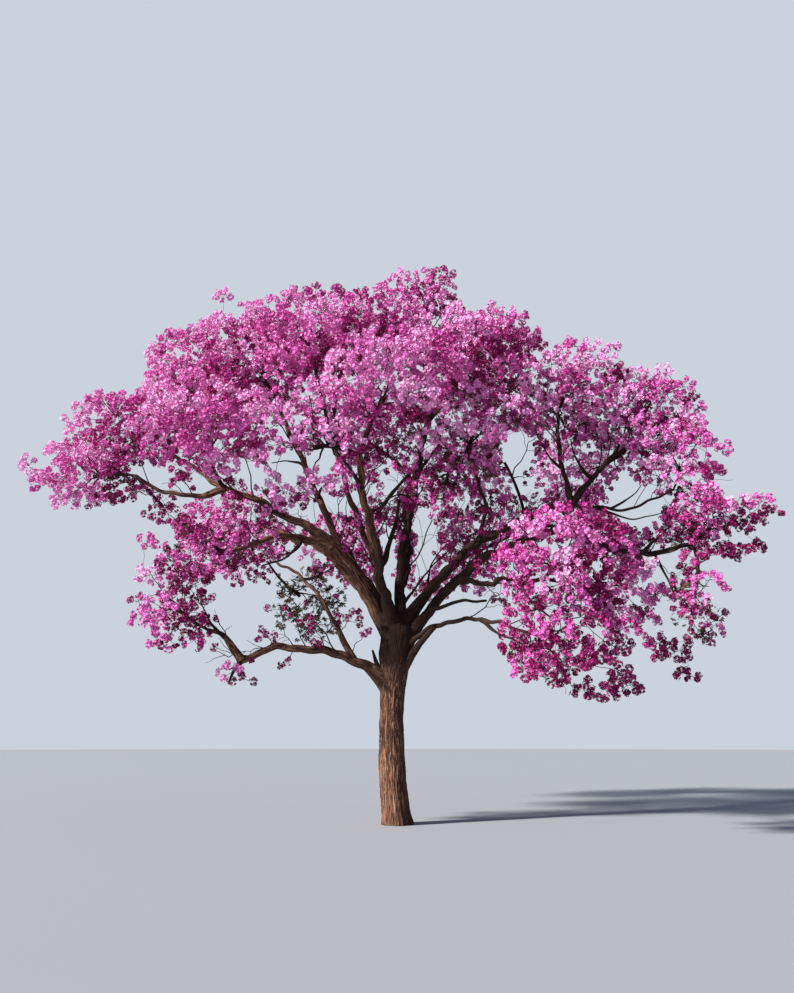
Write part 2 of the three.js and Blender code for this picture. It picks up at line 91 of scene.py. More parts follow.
BOUGHS = {
    "low_left": ("trunk", 0.66, -163, 8, 3180, 0.16, 0.01, 108, 66),
    "low_left_end": ("low_left", 1, -178, 41, 940, 0.15, 0, 62, 38),
    "left_upright": ("low_left", 0.27, 154, 45, 3190, 0.18, 0.05, 52, 28),
    "left": ("trunk", 0.88, -160, 54, 2490, 0.06, -0.03, 190, 122),
    "left_mid": ("left", 1, -157, -9, 2240, 0.11, 0, 88, 46),
    "left_far": ("left", 1, -168, 26, 2600, 0.05, 0, 98, 60),
    "left_tip": ("left_far", 1, 177, 9, 1950, -0.16, 0.03, 58, 38),
    "left_upper": ("left_far", 1, 165, 35, 1920, -0.01, 0, 50, 36),
    "left_high": ("trunk", 0.94, 173, 62, 6230, -0.06, 0.01, 125, 50),
    "left_back": ("trunk", 0.92, 138, 34, 5780, 0.08, -0.04, 120, 60),
    "centre_left": ("trunk", 0.95, 153, 69, 4970, -0.02, 0, 100, 54),
    "centre_front": ("trunk", 0.93, -113, 59, 3920, -0.02, -0.03, 136, 70),
    "centre_right": ("trunk", 0.96, 28, 81, 4950, -0.02, 0.07, 128, 72),
    "back": ("trunk", 0.96, 85, 55, 5550, 0.04, -0.01, 100, 56),
    "right_back": ("trunk", 0.97, 45, 33, 5730, 0.09, 0, 92, 56),
    "right_high": ("trunk", 0.96, 7, 36, 4960, 0.12, 0.01, 108, 74),
    "right_top": ("right_high", 1, 126, 84, 2360, -0.01, 0.06, 60, 42),
    "right_out": ("right_high", 1, -4, 43, 2200, 0.08, 0.02, 66, 42),
    "right_thin": ("right_high", 1, -26, 1, 2240, -0.12, 0, 42, 26),
    "front_high": ("right_high", 0.45, -103, 36, 2350, -0.02, 0.1, 50, 34),
    "right": ("trunk", 0.84, -12, 34, 4450, 0.13, 0, 120, 80),
    "right_far": ("right", 1, 0, -7, 2650, -0.13, 0, 84, 50),
    "right_front": ("right", 0.36, -59, -9, 2770, -0.02, 0.01, 62, 42),
    "low_right": ("trunk", 0.83, -47, 4, 3160, 0.14, 0.07, 60, 36),
}
WIGGLE = 0.014  # how far a limb strays from its bow, as a share of its reach
WIGGLE_TURNS = 1.5
TAPER = 0.85
COLLAR = 0.45  # what the branch collar adds to a limb's foot, as a share of the foot's radius
COLLAR_LENGTH = 1.6  # how soon the collar is gone, in foot radii
THIN_COLLAR = 0.4  # the part of a collar that a limb thinner than THICK_FOOT has
THICK_FOOT = 70 * MM
GOLDEN_ANGLE = math.pi * (3 - math.sqrt(5))
UP = np.array([0.0, 0.0, 1.0])
print(len(BOUGHS), "boughs")

# %% [markdown]
# A limb's centre line is worked out from its row, as in the solids. A line gives the points at any shares of
# its length, and its radius there; the direction at a share comes from two points close to it.
# %% Centre lines
def mix(a, b, t):
    return a + (b - a) * t


def ease(x):
    x = np.clip(x, 0, 1)
    return x * x * (3 - 2 * x)


class Trunk:
    def points(self, t):
        t = np.atleast_1d(t)
        x = TRUNK_LEAN * t + TRUNK_BOW * 4 * t * (1 - t)
        return np.stack([x, 0 * t, TRUNK_HEIGHT * t], axis=1)

    def radii(self, t):
        below = np.maximum(0, (WAIST_SHARE - t) / WAIST_SHARE)
        above = np.maximum(0, (t - WAIST_SHARE) / (1 - WAIST_SHARE))
        foot = (TRUNK_FOOT - TRUNK_WAIST) * below**FOOT_CURVE
        return TRUNK_WAIST + foot + FORK_SWELL * ease(above / SWELL_SHARE)


class Bough:
    def __init__(self, foot, row, index):
        heading, climb, reach, self.arch, self.swing, foot_radius, tip_radius = row[2:]
        turn, lift = math.radians(heading), math.radians(climb)
        self.foot, self.reach, self.phase = foot, reach * MM, index * GOLDEN_ANGLE
        level = np.array([math.cos(turn), math.sin(turn), 0.0])
        self.chord = self.reach * (math.cos(lift) * level + math.sin(lift) * UP)
        self.side = np.array([-math.sin(turn), math.cos(turn), 0.0])
        self.foot_radius, self.tip_radius = foot_radius * MM, tip_radius * MM

    def points(self, t):
        t = np.atleast_1d(t)[:, None]
        bow = 4 * t * (1 - t) * self.reach
        stray = WIGGLE * self.reach * np.sin(math.pi * t)
        angle = 2 * math.pi * WIGGLE_TURNS * t + self.phase
        up = (self.arch * bow + stray * np.sin(angle)) * UP
        aside = (self.swing * bow + stray * np.cos(angle)) * self.side
        return self.foot + self.chord * t + up + aside

    def radii(self, t):
        collar = COLLAR * self.foot_radius * np.exp(-t * self.reach / (COLLAR_LENGTH * self.foot_radius))
        share = 1 if self.foot_radius > THICK_FOOT else THIN_COLLAR
        return mix(self.foot_radius, self.tip_radius, t**TAPER) + collar * share


def direction(line, t, step=1e-4):
    a, b = line.points(max(0, t - step))[0], line.points(min(1, t + step))[0]
    return (b - a) / np.linalg.norm(b - a)


limbs = {"trunk": Trunk()}
for index, (name, row) in enumerate(BOUGHS.items()):
    limbs[name] = Bough(limbs[row[0]].points(row[1])[0], row, index)
print("highest bough tip", round(max(limb.points(1)[0][2] for limb in limbs.values()), 2), "m")

# %% [markdown]
# Thinner branches, which the solids leave out. They have rows of the same kind and the same bowed line, and
# stand between the boughs: sprouts at the fork, bare side branches and the crooked ones in the gaps.
# %% Thinner branches
BRANCHES = {
    "mid_right": ("right", 0.19, -50, 1, 1690, 0.02, -0.12, 48, 26),
    "fork_sprout": ("centre_right", 0.09, 4, 51, 1770, 0.06, 0, 30, 12),
    "fork_sprout_high": ("centre_right", 0.21, -36, 58, 1660, -0.06, -0.01, 26, 11),
    "right_sprout": ("right_high", 0.17, 40, 65, 1250, 0.02, 0.2, 26, 11),
    "trunk_sprout": ("low_left", 0.09, 178, 73, 540, 0.03, 0, 48, 22),
    "cross_branch": ("centre_front", 0.69, 29, 47, 1320, -0.1, 0.19, 30, 14),
    "cross_branch_high": ("centre_right", 0.64, -165, -18, 1010, 0.1, 0.29, 24, 12),
    "centre_side": ("centre_right", 0.76, -51, 35, 1090, -0.16, -0.11, 46, 24),
    "front_side": ("centre_front", 0.84, -145, 46, 950, -0.05, 0.1, 38, 18),
    "left_side": ("left_high", 0.61, -30, 36, 690, -0.07, -0.4, 30, 14),
    "left_high_side": ("left_high", 0.73, 171, 11, 820, 0.21, -0.28, 28, 12),
    "left_far_side": ("left_far", 0.4, -149, 41, 880, -0.13, 0.01, 26, 12),
    "left_mid_side": ("left_mid", 0.31, -151, -39, 1090, -0.14, 0.31, 34, 16),
    "left_mid_low": ("left_mid", 0.68, -157, -50, 920, 0.24, -0.22, 24, 11),
    "low_left_drop": ("low_left", 1, -159, -61, 470, 0.12, -0.04, 40, 16),
    "low_left_rise": ("low_left_end", 0.5, -168, 53, 890, -0.11, -0.03, 30, 12),
    "upright_side": ("left_upright", 0.54, 10, 25, 790, -0.06, -0.01, 24, 11),
    "bare_thin": ("right_thin", 0.39, 9, 37, 960, -0.06, -0.19, 22, 10),
    "bare_low": ("right_thin", 0.25, -19, -10, 1410, -0.12, -0.01, 26, 11),
    "out_side": ("right_out", 0.32, 155, 67, 1110, -0.21, 0.4, 36, 16),
    "out_fork": ("right_out", 0.59, 23, 62, 1390, -0.08, -0.06, 34, 15),
    "top_side": ("right_top", 0.38, -171, 56, 1080, -0.06, -0.1, 30, 14),
    "far_side": ("right_far", 0.58, -26, 39, 780, 0, 0, 30, 14),
    "far_drop": ("right_far", 0.66, -38, -67, 1130, 0.09, 0.07, 34, 14),
    "front_drop": ("right_front", 0.76, -29, -48, 1100, -0.09, -0.29, 34, 14),
    "centre_arm": ("centre_front", 0.42, -20, 72, 1490, -0.1, 0.07, 62, 34),
    "low_right_rise": ("low_right", 0.71, -48, -29, 1070, -0.03, -0.08, 34, 15),
}
for index, (name, row) in enumerate(BRANCHES.items()):
    limbs[name] = Bough(limbs[row[0]].points(row[1])[0], row, index + len(BOUGHS))
print(len(BRANCHES), "thinner branches")

# %% [markdown]
# The masses of blossom: the bough whose tip each grows from, the centre and the half sizes of the space that
# it keeps, how full of flowers it is, and its tone, from deep (-1) to light (1), which steers the tints of
# its flowers. The lower inner ones are thin, and their deep tones are painted shade; the outer ones to the
# front and the top are full, and their light tones are painted light.
# %% Sizes of the masses
MASSES = {
    "left_tip": ("left_tip", -6850, -600, 7100, 1400, 1200, 800, 1.0, 0.1),
    "left_tongue": ("left_upper", -6180, -300, 8330, 1350, 1300, 900, 1.0, 0.0),
    "left_shoulder": ("left_upper", -4800, 500, 9980, 1400, 1700, 1150, 1.0, 0.1),
    "left_dome": ("left_high", -3600, 1000, 10750, 1600, 1950, 1150, 1.0, 0.0),
    "left_front": ("left_far", -3600, -2900, 7200, 1450, 1300, 950, 1.0, 0.15),
    "left_inner": ("left_upper", -4300, -1300, 8470, 1450, 1250, 1000, 1.0, 0.1),
    "left_under": ("left_tip", -5670, 1800, 7010, 620, 1200, 490, 0.6, -0.7),
    "left_mid": ("left_mid", -3740, -1500, 5350, 920, 1150, 680, 0.85, -0.25),
    "left_low": ("low_left_end", -4460, -1500, 4180, 860, 1200, 980, 0.85, -0.5),
    "low_tip": ("low_left", -3150, -1000, 2970, 500, 620, 500, 0.6, -0.35),
    "low_inner": ("left_upright", -2020, 900, 4540, 950, 1150, 860, 0.5, -0.9),
    "centre_left": ("centre_front", -1850, -2700, 7050, 1400, 1150, 1450, 0.7, 0.35),
    "centre_upper": ("centre_front", -100, -2600, 8420, 1500, 1300, 1080, 1.0, 0.3),
    "centre_right": ("front_high", 1600, -2000, 7620, 1350, 1200, 1020, 0.9, 0.2),
    "right_mid": ("front_high", 1050, 700, 7200, 1450, 1250, 1050, 0.9, 0.15),
    "front_upper_left": ("centre_left", -1900, -1800, 9850, 1500, 1400, 1050, 1.0, 0.15),
    "front_upper_right": ("centre_right", 1450, -1700, 9500, 1450, 1400, 1000, 1.0, 0.1),
    "top_left": ("centre_left", -1200, 800, 11270, 1450, 1800, 1080, 1.0, 0.0),
    "top": ("centre_right", 500, 800, 11730, 1350, 1900, 1050, 1.0, 0.15),
    "right_top": ("centre_right", 2330, 800, 10600, 1400, 1700, 1080, 1.0, 0.1),
    "right_shoulder": ("right_top", 4080, 600, 9650, 1500, 1800, 1080, 1.0, 0.2),
    "right_dome": ("right_out", 5770, 300, 8900, 1350, 1500, 1130, 1.0, 0.2),
    "right_outer": ("right_thin", 6150, -800, 7420, 1050, 1200, 1000, 0.9, 0.2),
    "right_inner": ("right_out", 4650, 1500, 7750, 1350, 1200, 1000, 0.8, 0.15),
    "right_far": ("right_far", 6780, -800, 6090, 1270, 1200, 570, 1.0, -0.3),
    "right_far_low": ("right_far", 6100, -1000, 4370, 610, 1100, 1220, 0.8, -0.6),
    "right_front": ("right_front", 2950, -3400, 4750, 1400, 1250, 880, 1.0, -0.1),
    "right_bottom": ("low_right", 2900, -3100, 3280, 1300, 1200, 1050, 0.9, -0.6),
    "right_low": ("right_front", 4340, -2100, 4200, 800, 1100, 720, 0.85, -0.1),
    "back_left": ("left_back", -4400, 3900, 6800, 1700, 1600, 1350, 0.8, 0.0),
    "back_low": ("back", -1200, 5400, 6900, 1700, 1500, 1150, 0.8, -0.2),
    "back_high": ("back", -1100, 3400, 9700, 1900, 1600, 1300, 0.8, 0.0),
    "back_right_low": ("right_back", 1500, 4800, 6300, 1650, 1500, 1150, 0.8, -0.2),
    "back_right_high": ("right_back", 2800, 3400, 9300, 1600, 1500, 1150, 0.8, 0.0),
    "far_right_back": ("right_back", 5800, 2900, 6900, 1500, 1450, 1150, 0.8, 0.0),
}
# Lanes of open sky, seen from where the viewer stands: their middles at the trunk as x and z, half sizes.
LANES = MM * np.array([
    [2750, 7850, 340, 430],
    [5300, 6650, 580, 430],
    [620, 5800, 170, 800],
    [1400, 4250, 450, 220],
    [-200, 5500, 130, 550],
    [-150, 6980, 150, 140],
    [-1620, 7800, 260, 280],
    [-2450, 7500, 230, 230],
    [-3240, 7350, 260, 200],
])
names = list(MASSES)
centres = MM * np.array([row[1:4] for row in MASSES.values()])
halves = MM * np.array([row[4:7] for row in MASSES.values()])
fullness = np.array([row[7] for row in MASSES.values()])
tones = np.array([row[8] for row in MASSES.values()])
print(len(names), "masses")

# %% [markdown]
# Everything random comes from seeded streams of numbers, made in the solids' way. Such a stream is a hash of
# a counter, with the shifts and the odd factors that such a hash needs, so numpy can take thousands of draws
# at once.
# %% Seeded draws
WORD = np.uint64(0xFFFFFFFF)


class Draws:
    def __init__(self, seed):
        self.seed, self.taken = np.uint64(seed), 0

    def take(self, count):
        turn = np.arange(self.taken + 1, self.taken + count + 1, dtype=np.uint64)
        self.taken += count
        state = (self.seed + turn * np.uint64(0x6D2B79F5)) & WORD
        mixed = ((state ^ (state >> np.uint64(15))) * (state | np.uint64(1))) & WORD
        again = ((mixed ^ (mixed >> np.uint64(7))) * (mixed | np.uint64(61))) & WORD
        mixed = ((mixed + again) & WORD) ^ mixed
        return (mixed ^ (mixed >> np.uint64(14))) / 2.0**32

    def either_way(self):
        """One draw between -1 and 1."""
        return 2 * self.take(1)[0] - 1


print("first draws", Draws(101).take(3).round(4))

# %% [markdown]
# Three tests keep the crown in order. A point belongs to the mass in whose space it lies deepest, no flower
# stands in a lane of sky, and flowers and twigs keep clear of the limbs. A test takes many points at once.
# %% Spaces, lanes and clearances
SPACE_MARGIN = 0.02  # clear share between two masses' spaces
eye = np.array(EYE)


def shares_of_spaces(points):
    """How far out in the space of each mass every point lies: 0 at its centre and 1 at its border."""
    return np.linalg.norm((points[:, None, :] - centres) / halves, axis=2)


def owned(mass, points, margin=SPACE_MARGIN):
    share = shares_of_spaces(points)
    own = share[:, mass].copy()
    share[:, mass] = np.inf
    return (own <= 1) & (share.min(axis=1) > own + margin)


def straddles(mass, points, spot, most):
    """The middle lies in the mass's own space, and every point in the space of one mass or another."""
    return owned(mass, spot[None], margin=0)[0] and shares_of_spaces(points).min(axis=1).max() <= most


def in_lane(points, margin):
    share = -eye[1] / (points[:, 1] - eye[1])
    x = eye[0] + (points[:, 0] - eye[0]) * share
    z = eye[2] + (points[:, 2] - eye[2]) * share
    across = (x[:, None] - LANES[:, 0]) / (LANES[:, 2] + margin)
    up = (z[:, None] - LANES[:, 1]) / (LANES[:, 3] + margin)
    return (across**2 + up**2 < 1).any(axis=1)


def nearest_on(a, b, point):
    along = b - a
    t = np.clip(((point - a) * along).sum(axis=-1) / (along**2).sum(axis=-1), 0, 1)
    return t, a + along * t[..., None]


def clear_of(pieces, points, radius):
    a, b, r = pieces
    near = nearest_on(a[None], b[None], points[:, None, :])[1]
    return (np.linalg.norm(near - points[:, None, :], axis=2) > r + radius).all(axis=1)


def pieces_of(lines, shares):
    """The straight pieces of bent lines: where they start, where they end, and their radii."""
    points = [line.points(shares) for line in lines]
    a = np.concatenate([one[:-1] for one in points])
    b = np.concatenate([one[1:] for one in points])
    return a, b, np.concatenate([line.radii(shares[:-1]) for line in lines])


LIMB_PIECES = 8
shares_of_limb = np.arange(LIMB_PIECES + 1) / LIMB_PIECES
packed_limbs = [limbs[name] for name in ("trunk", *BOUGHS)]
limb_pieces = pieces_of(packed_limbs, shares_of_limb)
print(len(limb_pieces[0]), "straight pieces of limb")

# %% [markdown]
# A mass hangs on one stem, which runs on from its bough's tip to near the middle of its space. Sprays are
# then dealt into the space, each time at the emptiest of many seeded places, and each spray is reached by a
# twig from the nearest wood. This is the solids' own rule with the solids' own draws, so that every large
# spray and twig comes out where its solid stands.
# %% Stems and sprays
STEM_SHARE = 0.8  # how much of the way to its mass's centre a stem runs
STEM_FOOT = 60 * MM
STEM_TIP = 38 * MM
STEM_BEND = 0.16  # how far a stem keeps to its bough's direction, as a share of its length
STEM_IN_BOUGH = 0.78  # greatest radius of a stem's foot, as a share of its bough's tip
STEM_PIECES = 2
SPRAYS_PER_M2 = 0.65  # large sprays for each square metre of a mass's surface
SPRAY_RADIUS = 395 * MM
SPRAY_SHRINKS = (0.74, 1.06)  # least and greatest scale of the sprays in masses of different height
SPRAY_FLATTEN = 0.78
SPRAY_TILT = 0.5  # greatest tilt of a spray, in radians
SPRAY_CLEAR = 12 * MM  # least gap from a spray to a limb or a stem
LANE_CLEAR = 0.8  # how much of a spray's radius keeps out of a lane of sky
OUTWARD = 0.4  # below 1, it deals the places towards the outside of a space
# Of the many places tried for a spray, the emptiest is taken. Two sprays may overlap by a share of a radius.
LARGE = {"varies": 0.14, "choices": 90, "overlap": 0.2}
steps = np.array([[x, y, z] for x in (-1, 0, 1) for y in (-1, 0, 1) for z in (-1, 0, 1)], float)
PROBES = steps / np.maximum(1, np.abs(steps).sum(axis=1))[:, None]
MOST_ROOM = 2.0  # m, where a spray stands alone
ROUND = 1.6  # the power of the usual formula for the surface of a body with three half sizes


def ways_to(turn, height):
    """Directions of length 1, from how far round they point and how high they reach."""
    level = np.sqrt(1 - height**2)
    return np.stack([np.cos(turn) * level, np.sin(turn) * level, height], axis=1)


def surface_of(mass):
    a, b, c = halves[mass]
    sides = ((a * b) ** ROUND + (a * c) ** ROUND + (b * c) ** ROUND) / 3
    return 4 * math.pi * sides ** (1 / ROUND)


def bezier(a, bend, b, t):
    t = np.atleast_1d(t)[:, None]
    return (1 - t) ** 2 * a + 2 * t * (1 - t) * bend + t**2 * b


class Stem:
    def __init__(self, mass):
        limb = limbs[MASSES[names[mass]][0]]
        self.a = limb.points(1)[0]
        self.b = mix(self.a, centres[mass], STEM_SHARE)
        self.foot_radius = min(STEM_FOOT, STEM_IN_BOUGH * limb.tip_radius)
        span = np.linalg.norm(self.b - self.a)
        self.bend = mix(self.a, self.b, 0.5) + direction(limb, 1) * span * STEM_BEND

    def points(self, t):
        return bezier(self.a, self.bend, self.b, t)

    def radii(self, t):
        return mix(self.foot_radius, STEM_TIP, t)


def spray_turn(tilt, spin):
    """Turns about the upright axis by spin, after a tilt about the first axis."""
    ct, st, cs, ss = np.cos(tilt), np.sin(tilt), np.cos(spin), np.sin(spin)
    zero = 0 * ct
    rows = [[cs, -ss * ct, ss * st], [ss, cs * ct, -cs * st], [zero, st, ct]]
    return np.moveaxis(np.array(rows), 2, 0)


def place_sprays(mass, wanted, radius_mid, draws, sprays, varies, choices, overlap, over_border=None):
    """Adds the wanted number of sprays to those that stand already, or fewer where there is no room."""
    obstacles = obstacles_of(mass)
    for _ in range(wanted):
        radius = radius_mid * (1 + varies * draws.either_way())
        height, turn, out, tilt, spin = draws.take(5 * choices).reshape(choices, 5).T
        height, turn, out = 2 * height - 1, 2 * math.pi * turn, out**OUTWARD
        spots = centres[mass] + ways_to(turn, height) * halves[mass] * out[:, None]
        turned = spray_turn(SPRAY_TILT * (2 * tilt - 1), 2 * math.pi * spin)
        placed = turned * (radius * np.array([1, 1, SPRAY_FLATTEN]))
        fits = ~in_lane(spots, radius * LANE_CLEAR) & clear_of(obstacles, spots, radius + SPRAY_CLEAR)
        for i in np.flatnonzero(fits):
            probes = PROBES @ placed[i].T + spots[i]
            if over_border:
                fits[i] = straddles(mass, probes, spots[i], over_border)
            else:
                fits[i] = owned(mass, probes).all()
        if not fits.any():
            continue
        room = np.full(choices, MOST_ROOM)
        if sprays:
            at = np.array([spray["at"] for spray in sprays])
            radii = np.array([spray["radius"] for spray in sprays])
            gaps = np.linalg.norm(at[None] - spots[:, None], axis=2) - radii - radius
            room = np.minimum(room, gaps.min(axis=1))
        room[~fits] = -np.inf
        best = int(room.argmax())
        if room[best] > -radius * overlap:
            sprays.append({"at": spots[best], "radius": radius, "placed": placed[best]})
    return sprays


stems = [Stem(mass) for mass in range(len(names))]
stem_shares = np.arange(STEM_PIECES + 1) / STEM_PIECES
stem_pieces = pieces_of(stems, stem_shares)
stem_of = np.repeat(np.arange(len(names)), STEM_PIECES)


def obstacles_of(mass):
    other = stem_of != mass
    return [np.concatenate([limb, stem[other]]) for limb, stem in zip(limb_pieces, stem_pieces)]


FIRST_SEED, SEED_STEP = 101, 7
sprays_of, draws_of = [], []
for mass, scale in enumerate(np.clip(halves[:, 2], *SPRAY_SHRINKS)):
    wanted = round(surface_of(mass) * SPRAYS_PER_M2 / scale)
    draws_of.append(Draws(FIRST_SEED + SEED_STEP * mass))
    sprays_of.append(place_sprays(mass, wanted, SPRAY_RADIUS * scale, draws_of[mass], [], **LARGE))
print(sum(map(len, sprays_of)), "large sprays placed")

# %% [markdown]
# Wood grows like this: a target is reached from the nearest wood that stands already, from a little further
# back along it, so that the twig leaves at a slant. Thicker wood is put before thinner. A twig bends out of
# the direction of the wood that it leaves, and is kept as a bent line with a thickness at every point.
# %% Growing twigs
TWIG_LEAST = 6 * MM
TWIG_TO_STEM = 0.66  # a twig's radius where it leaves a stem, as a share of the stem's
TWIG_TO_TWIG = 0.48  # the same where it leaves another twig
LEAVES_STEM = ((0.5, 0.95), (0.05, 0.95))  # first and last place for a twig along each piece of a stem
LEAVES_TWIG = (0.15, 0.62)  # the same along another twig
TWIG_BACKSET = 0.35  # how far back down the wood a twig leaves, as a share of its distance
TWIG_ORDER_COST = 260 * MM  # how much nearer a twig of one more order must be to be chosen
TWIG_STRIDE = 90 * MM  # distance between the points at which a twig is tested
SPRAY_SEATED = 0.35  # a spray this near to its wood, as a share of its radius, needs no twig
TWIG_CLEAR = 30 * MM  # least gap from a twig to a limb or another stem
TWIG_TIP = 5 * MM
TWIG_SWEEP = 0.16  # how far a twig follows the wood that it leaves, as a share of its length
TWIG_CROOK = 0.045  # how far its small crooks stray, as a share of its length
TWIG_CROOKS = 1.6
CROOK_PHASES = np.array([0.0, 2.1, 4.2])
CROOK_START = 9  # radians for each metre of its place, so that no two twigs crook alike
WOOD_ROOM = 6000  # the most pieces in the wood of one mass


class Wood:
    """The wood of one mass: straight pieces to search, and the bent lines that are drawn."""

    def __init__(self, most=WOOD_ROOM):
        self.a, self.b = np.zeros((most, 3)), np.zeros((most, 3))
        self.ra, self.rb, self.order = np.zeros(most), np.zeros(most), np.zeros(most)
        self.count, self.lines = 0, []

    def add(self, points, radii, order):
        n, m = self.count, len(points) - 1
        self.a[n:n + m], self.b[n:n + m] = points[:-1], points[1:]
        self.ra[n:n + m], self.rb[n:n + m] = radii[:-1], radii[1:]
        self.order[n:n + m] = order
        self.count += m
        self.lines.append((points, radii))

    def nearest(self, spot, order_cost, backset):
        n = self.count
        a, b = self.a[:n], self.b[:n]
        length = np.linalg.norm(b - a, axis=1)
        t, near = nearest_on(a, b, spot)
        t = np.clip(t - backset * np.linalg.norm(near - spot, axis=1) / length, 0, 1)
        leave = a + (b - a) * t[:, None]
        cost = np.linalg.norm(leave - spot, axis=1) + order_cost * self.order[:n]
        i = int(cost.argmin())
        radius = mix(self.ra[i], self.rb[i], t[i])
        return leave[i], radius, (b[i] - a[i]) / length[i], self.order[i]


def tapered(foot, tip, count):
    return mix(foot, tip, np.linspace(0, 1, count))


def bent_line(leave, parent_way, spot, sweep, count):
    """A curve out of the parent's direction, with small crooks that come from the place itself."""
    span = np.linalg.norm(spot - leave)
    bend = mix(leave, spot, 0.5) + parent_way * span * sweep
    t = np.linspace(0, 1, count)
    turn = 2 * math.pi * TWIG_CROOKS * t[:, None] + CROOK_START * leave.sum() + CROOK_PHASES
    return bezier(leave, bend, spot, t) + TWIG_CROOK * span * np.sin(math.pi * t)[:, None] * np.sin(turn)


def coarse_twigs(mass, sprays):
    """The solids' rule for the twigs of the large sprays: which piece each leaves, and where."""
    stem, obstacles = stems[mass], obstacles_of(mass)
    points = stem.points(stem_shares)
    radii = stem.radii(stem_shares)
    pieces = [
        {"a": points[i], "b": points[i + 1], "ra": radii[i], "rb": radii[i + 1], "order": 0}
        for i in range(STEM_PIECES)
    ]
    kept = []
    for spray in sorted(sprays, key=lambda one: np.linalg.norm(one["at"] - stem.a)):
        best = None
        for i, piece in enumerate(pieces):
            t, near = nearest_on(piece["a"], piece["b"], spray["at"])
            length = np.linalg.norm(piece["b"] - piece["a"])
            back = TWIG_BACKSET * np.linalg.norm(near - spray["at"]) / length
            first, last = LEAVES_TWIG if piece["order"] > 0 else LEAVES_STEM[i]
            share = min(max(t - back, first), last)
            leave = mix(piece["a"], piece["b"], share)
            cost = np.linalg.norm(leave - spray["at"]) + TWIG_ORDER_COST * piece["order"]
            if best is None or cost < best[0]:
                best = (cost, leave, piece, mix(piece["ra"], piece["rb"], share))
        _, leave, piece, radius = best
        span = np.linalg.norm(leave - spray["at"])
        kept.append(spray)
        if span < SPRAY_SEATED * spray["radius"]:
            continue
        count = max(2, round(span / TWIG_STRIDE))
        spots = leave + (spray["at"] - leave) * ((np.arange(count) + 0.5) / count)[:, None]
        clear = clear_of(obstacles, spots, TWIG_CLEAR).all()
        if not clear or (piece["order"] > 0 and not owned(mass, spots).all()):
            kept.pop()
            continue
        share = TWIG_TO_STEM if piece["order"] == 0 else TWIG_TO_TWIG
        foot = max(TWIG_LEAST, radius * share)
        pieces.append({"a": leave, "b": spray["at"], "ra": foot, "rb": 0.0, "order": piece["order"] + 1})
    return pieces, kept


STEM_POINTS = 9
COARSE_POINTS = 7
COARSE_TIP = 1.6 * TWIG_TIP
COARSE_TAPER = 0.8
woods = []
for mass in range(len(names)):
    pieces, sprays_of[mass] = coarse_twigs(mass, sprays_of[mass])
    wood = Wood()
    shares = np.linspace(0, 1, STEM_POINTS)
    wood.add(stems[mass].points(shares), stems[mass].radii(shares), 0)
    for piece in pieces[STEM_PIECES:]:
        # The leaving point moves onto the drawn wood, which bends where the solid is straight.
        leave, _, way, _ = wood.nearest(piece["a"], 0, 0)
        line = bent_line(leave, way, piece["b"], TWIG_SWEEP, COARSE_POINTS)
        radii = mix(piece["ra"], COARSE_TIP, np.linspace(0, 1, COARSE_POINTS) ** COARSE_TAPER)
        wood.add(line, radii, piece["order"])
    woods.append(wood)
coarse_count = sum(len(wood.lines) - 1 for wood in woods)
print(sum(map(len, sprays_of)), "large sprays kept on", coarse_count, "twigs")

# %% [markdown]
# Between the large sprays the same rule places little ones, smaller and closer together. Then each spray is
# dealt its tufts, which are balls of a dozen flowers at the ends of the finest twigs. They stand on the
# upper and outer side of their spray, where the light is, so a spray is a small cloud with twigs below it.
# In some of the inner masses a few of the tufts are bunches of old leaves.
# %% Little sprays and tufts
LITTLE_PER_M2 = 2.3
LITTLE_RADIUS = 265 * MM
LITTLE = {"varies": 0.3, "choices": 40, "overlap": 0.45, "over_border": 1.05}
LITTLE_POINTS = 5
LITTLE_TIP = 1.3 * TWIG_TIP
FINE_POINTS = 3
FINE_FOOT = 6.5 * MM
FINE_TIP = 3.5 * MM
FINER = 0.6  # the girth of a little twig where it leaves its parent, as a share of the parent's
TUFTS_PER_SPRAY = 13.5  # on a spray of SPRAY_RADIUS, in a mass of full bloom
TUFT_GROWTH = 1.8  # the power by which a wider spray has more of them
TUFT_LOWEST = -0.55  # how far down a spray's side the tufts go, as a share of its half height
TUFT_JITTER = 0.12
TUFT_TURNS = (1.1, 6)  # radians by which chance turns each tuft, and all the tufts of a spray together
TUFT_DEPTH = (0.66, 1.0)  # how far out in its spray a tuft stands
TUFT_SEATED = 75 * MM  # a tuft this near to its wood needs no twig
TUFT_ORDER_COST = 40 * MM
TUFT_CLEAR = 35 * MM
TUFT_IN_LANE = 20 * MM
SUN_FROM = np.array([-0.79, -0.40, 0.46])  # the way to the light, for the tone of a spray
SUN_TONE = 0.7  # how much lighter the sunny side of a mass is
TONE_VARIES = 0.75
LEAF_SEED = 4242
LEAFY = {"low_inner": 0.8, "left_mid": 0.12, "right_mid": 0.08, "centre_right": 0.1, "right_far_low": 0.08}


def deal_tufts(mass, spray, draws, obstacles):
    count = round(TUFTS_PER_SPRAY * (spray["radius"] / SPRAY_RADIUS) ** TUFT_GROWTH * fullness[mass])
    if count < 1:
        return np.zeros((0, 3))
    drawn = draws.take(4 * count).reshape(count, 4)
    height = mix(TUFT_LOWEST, 1, (np.arange(count) + 0.5) / count) + TUFT_JITTER * (drawn[:, 0] - 0.5)
    height = np.clip(height, -1, 1)
    own_turn, shared_turn = TUFT_TURNS
    turn = GOLDEN_ANGLE * np.arange(count) + own_turn * drawn[:, 1] + shared_turn * drawn[0, 3]
    ways = ways_to(turn, height) * mix(*TUFT_DEPTH, drawn[:, 2:3])
    spots = spray["at"] + ways @ spray["placed"].T
    return spots[~in_lane(spots, TUFT_IN_LANE) & clear_of(obstacles, spots, TUFT_CLEAR)]


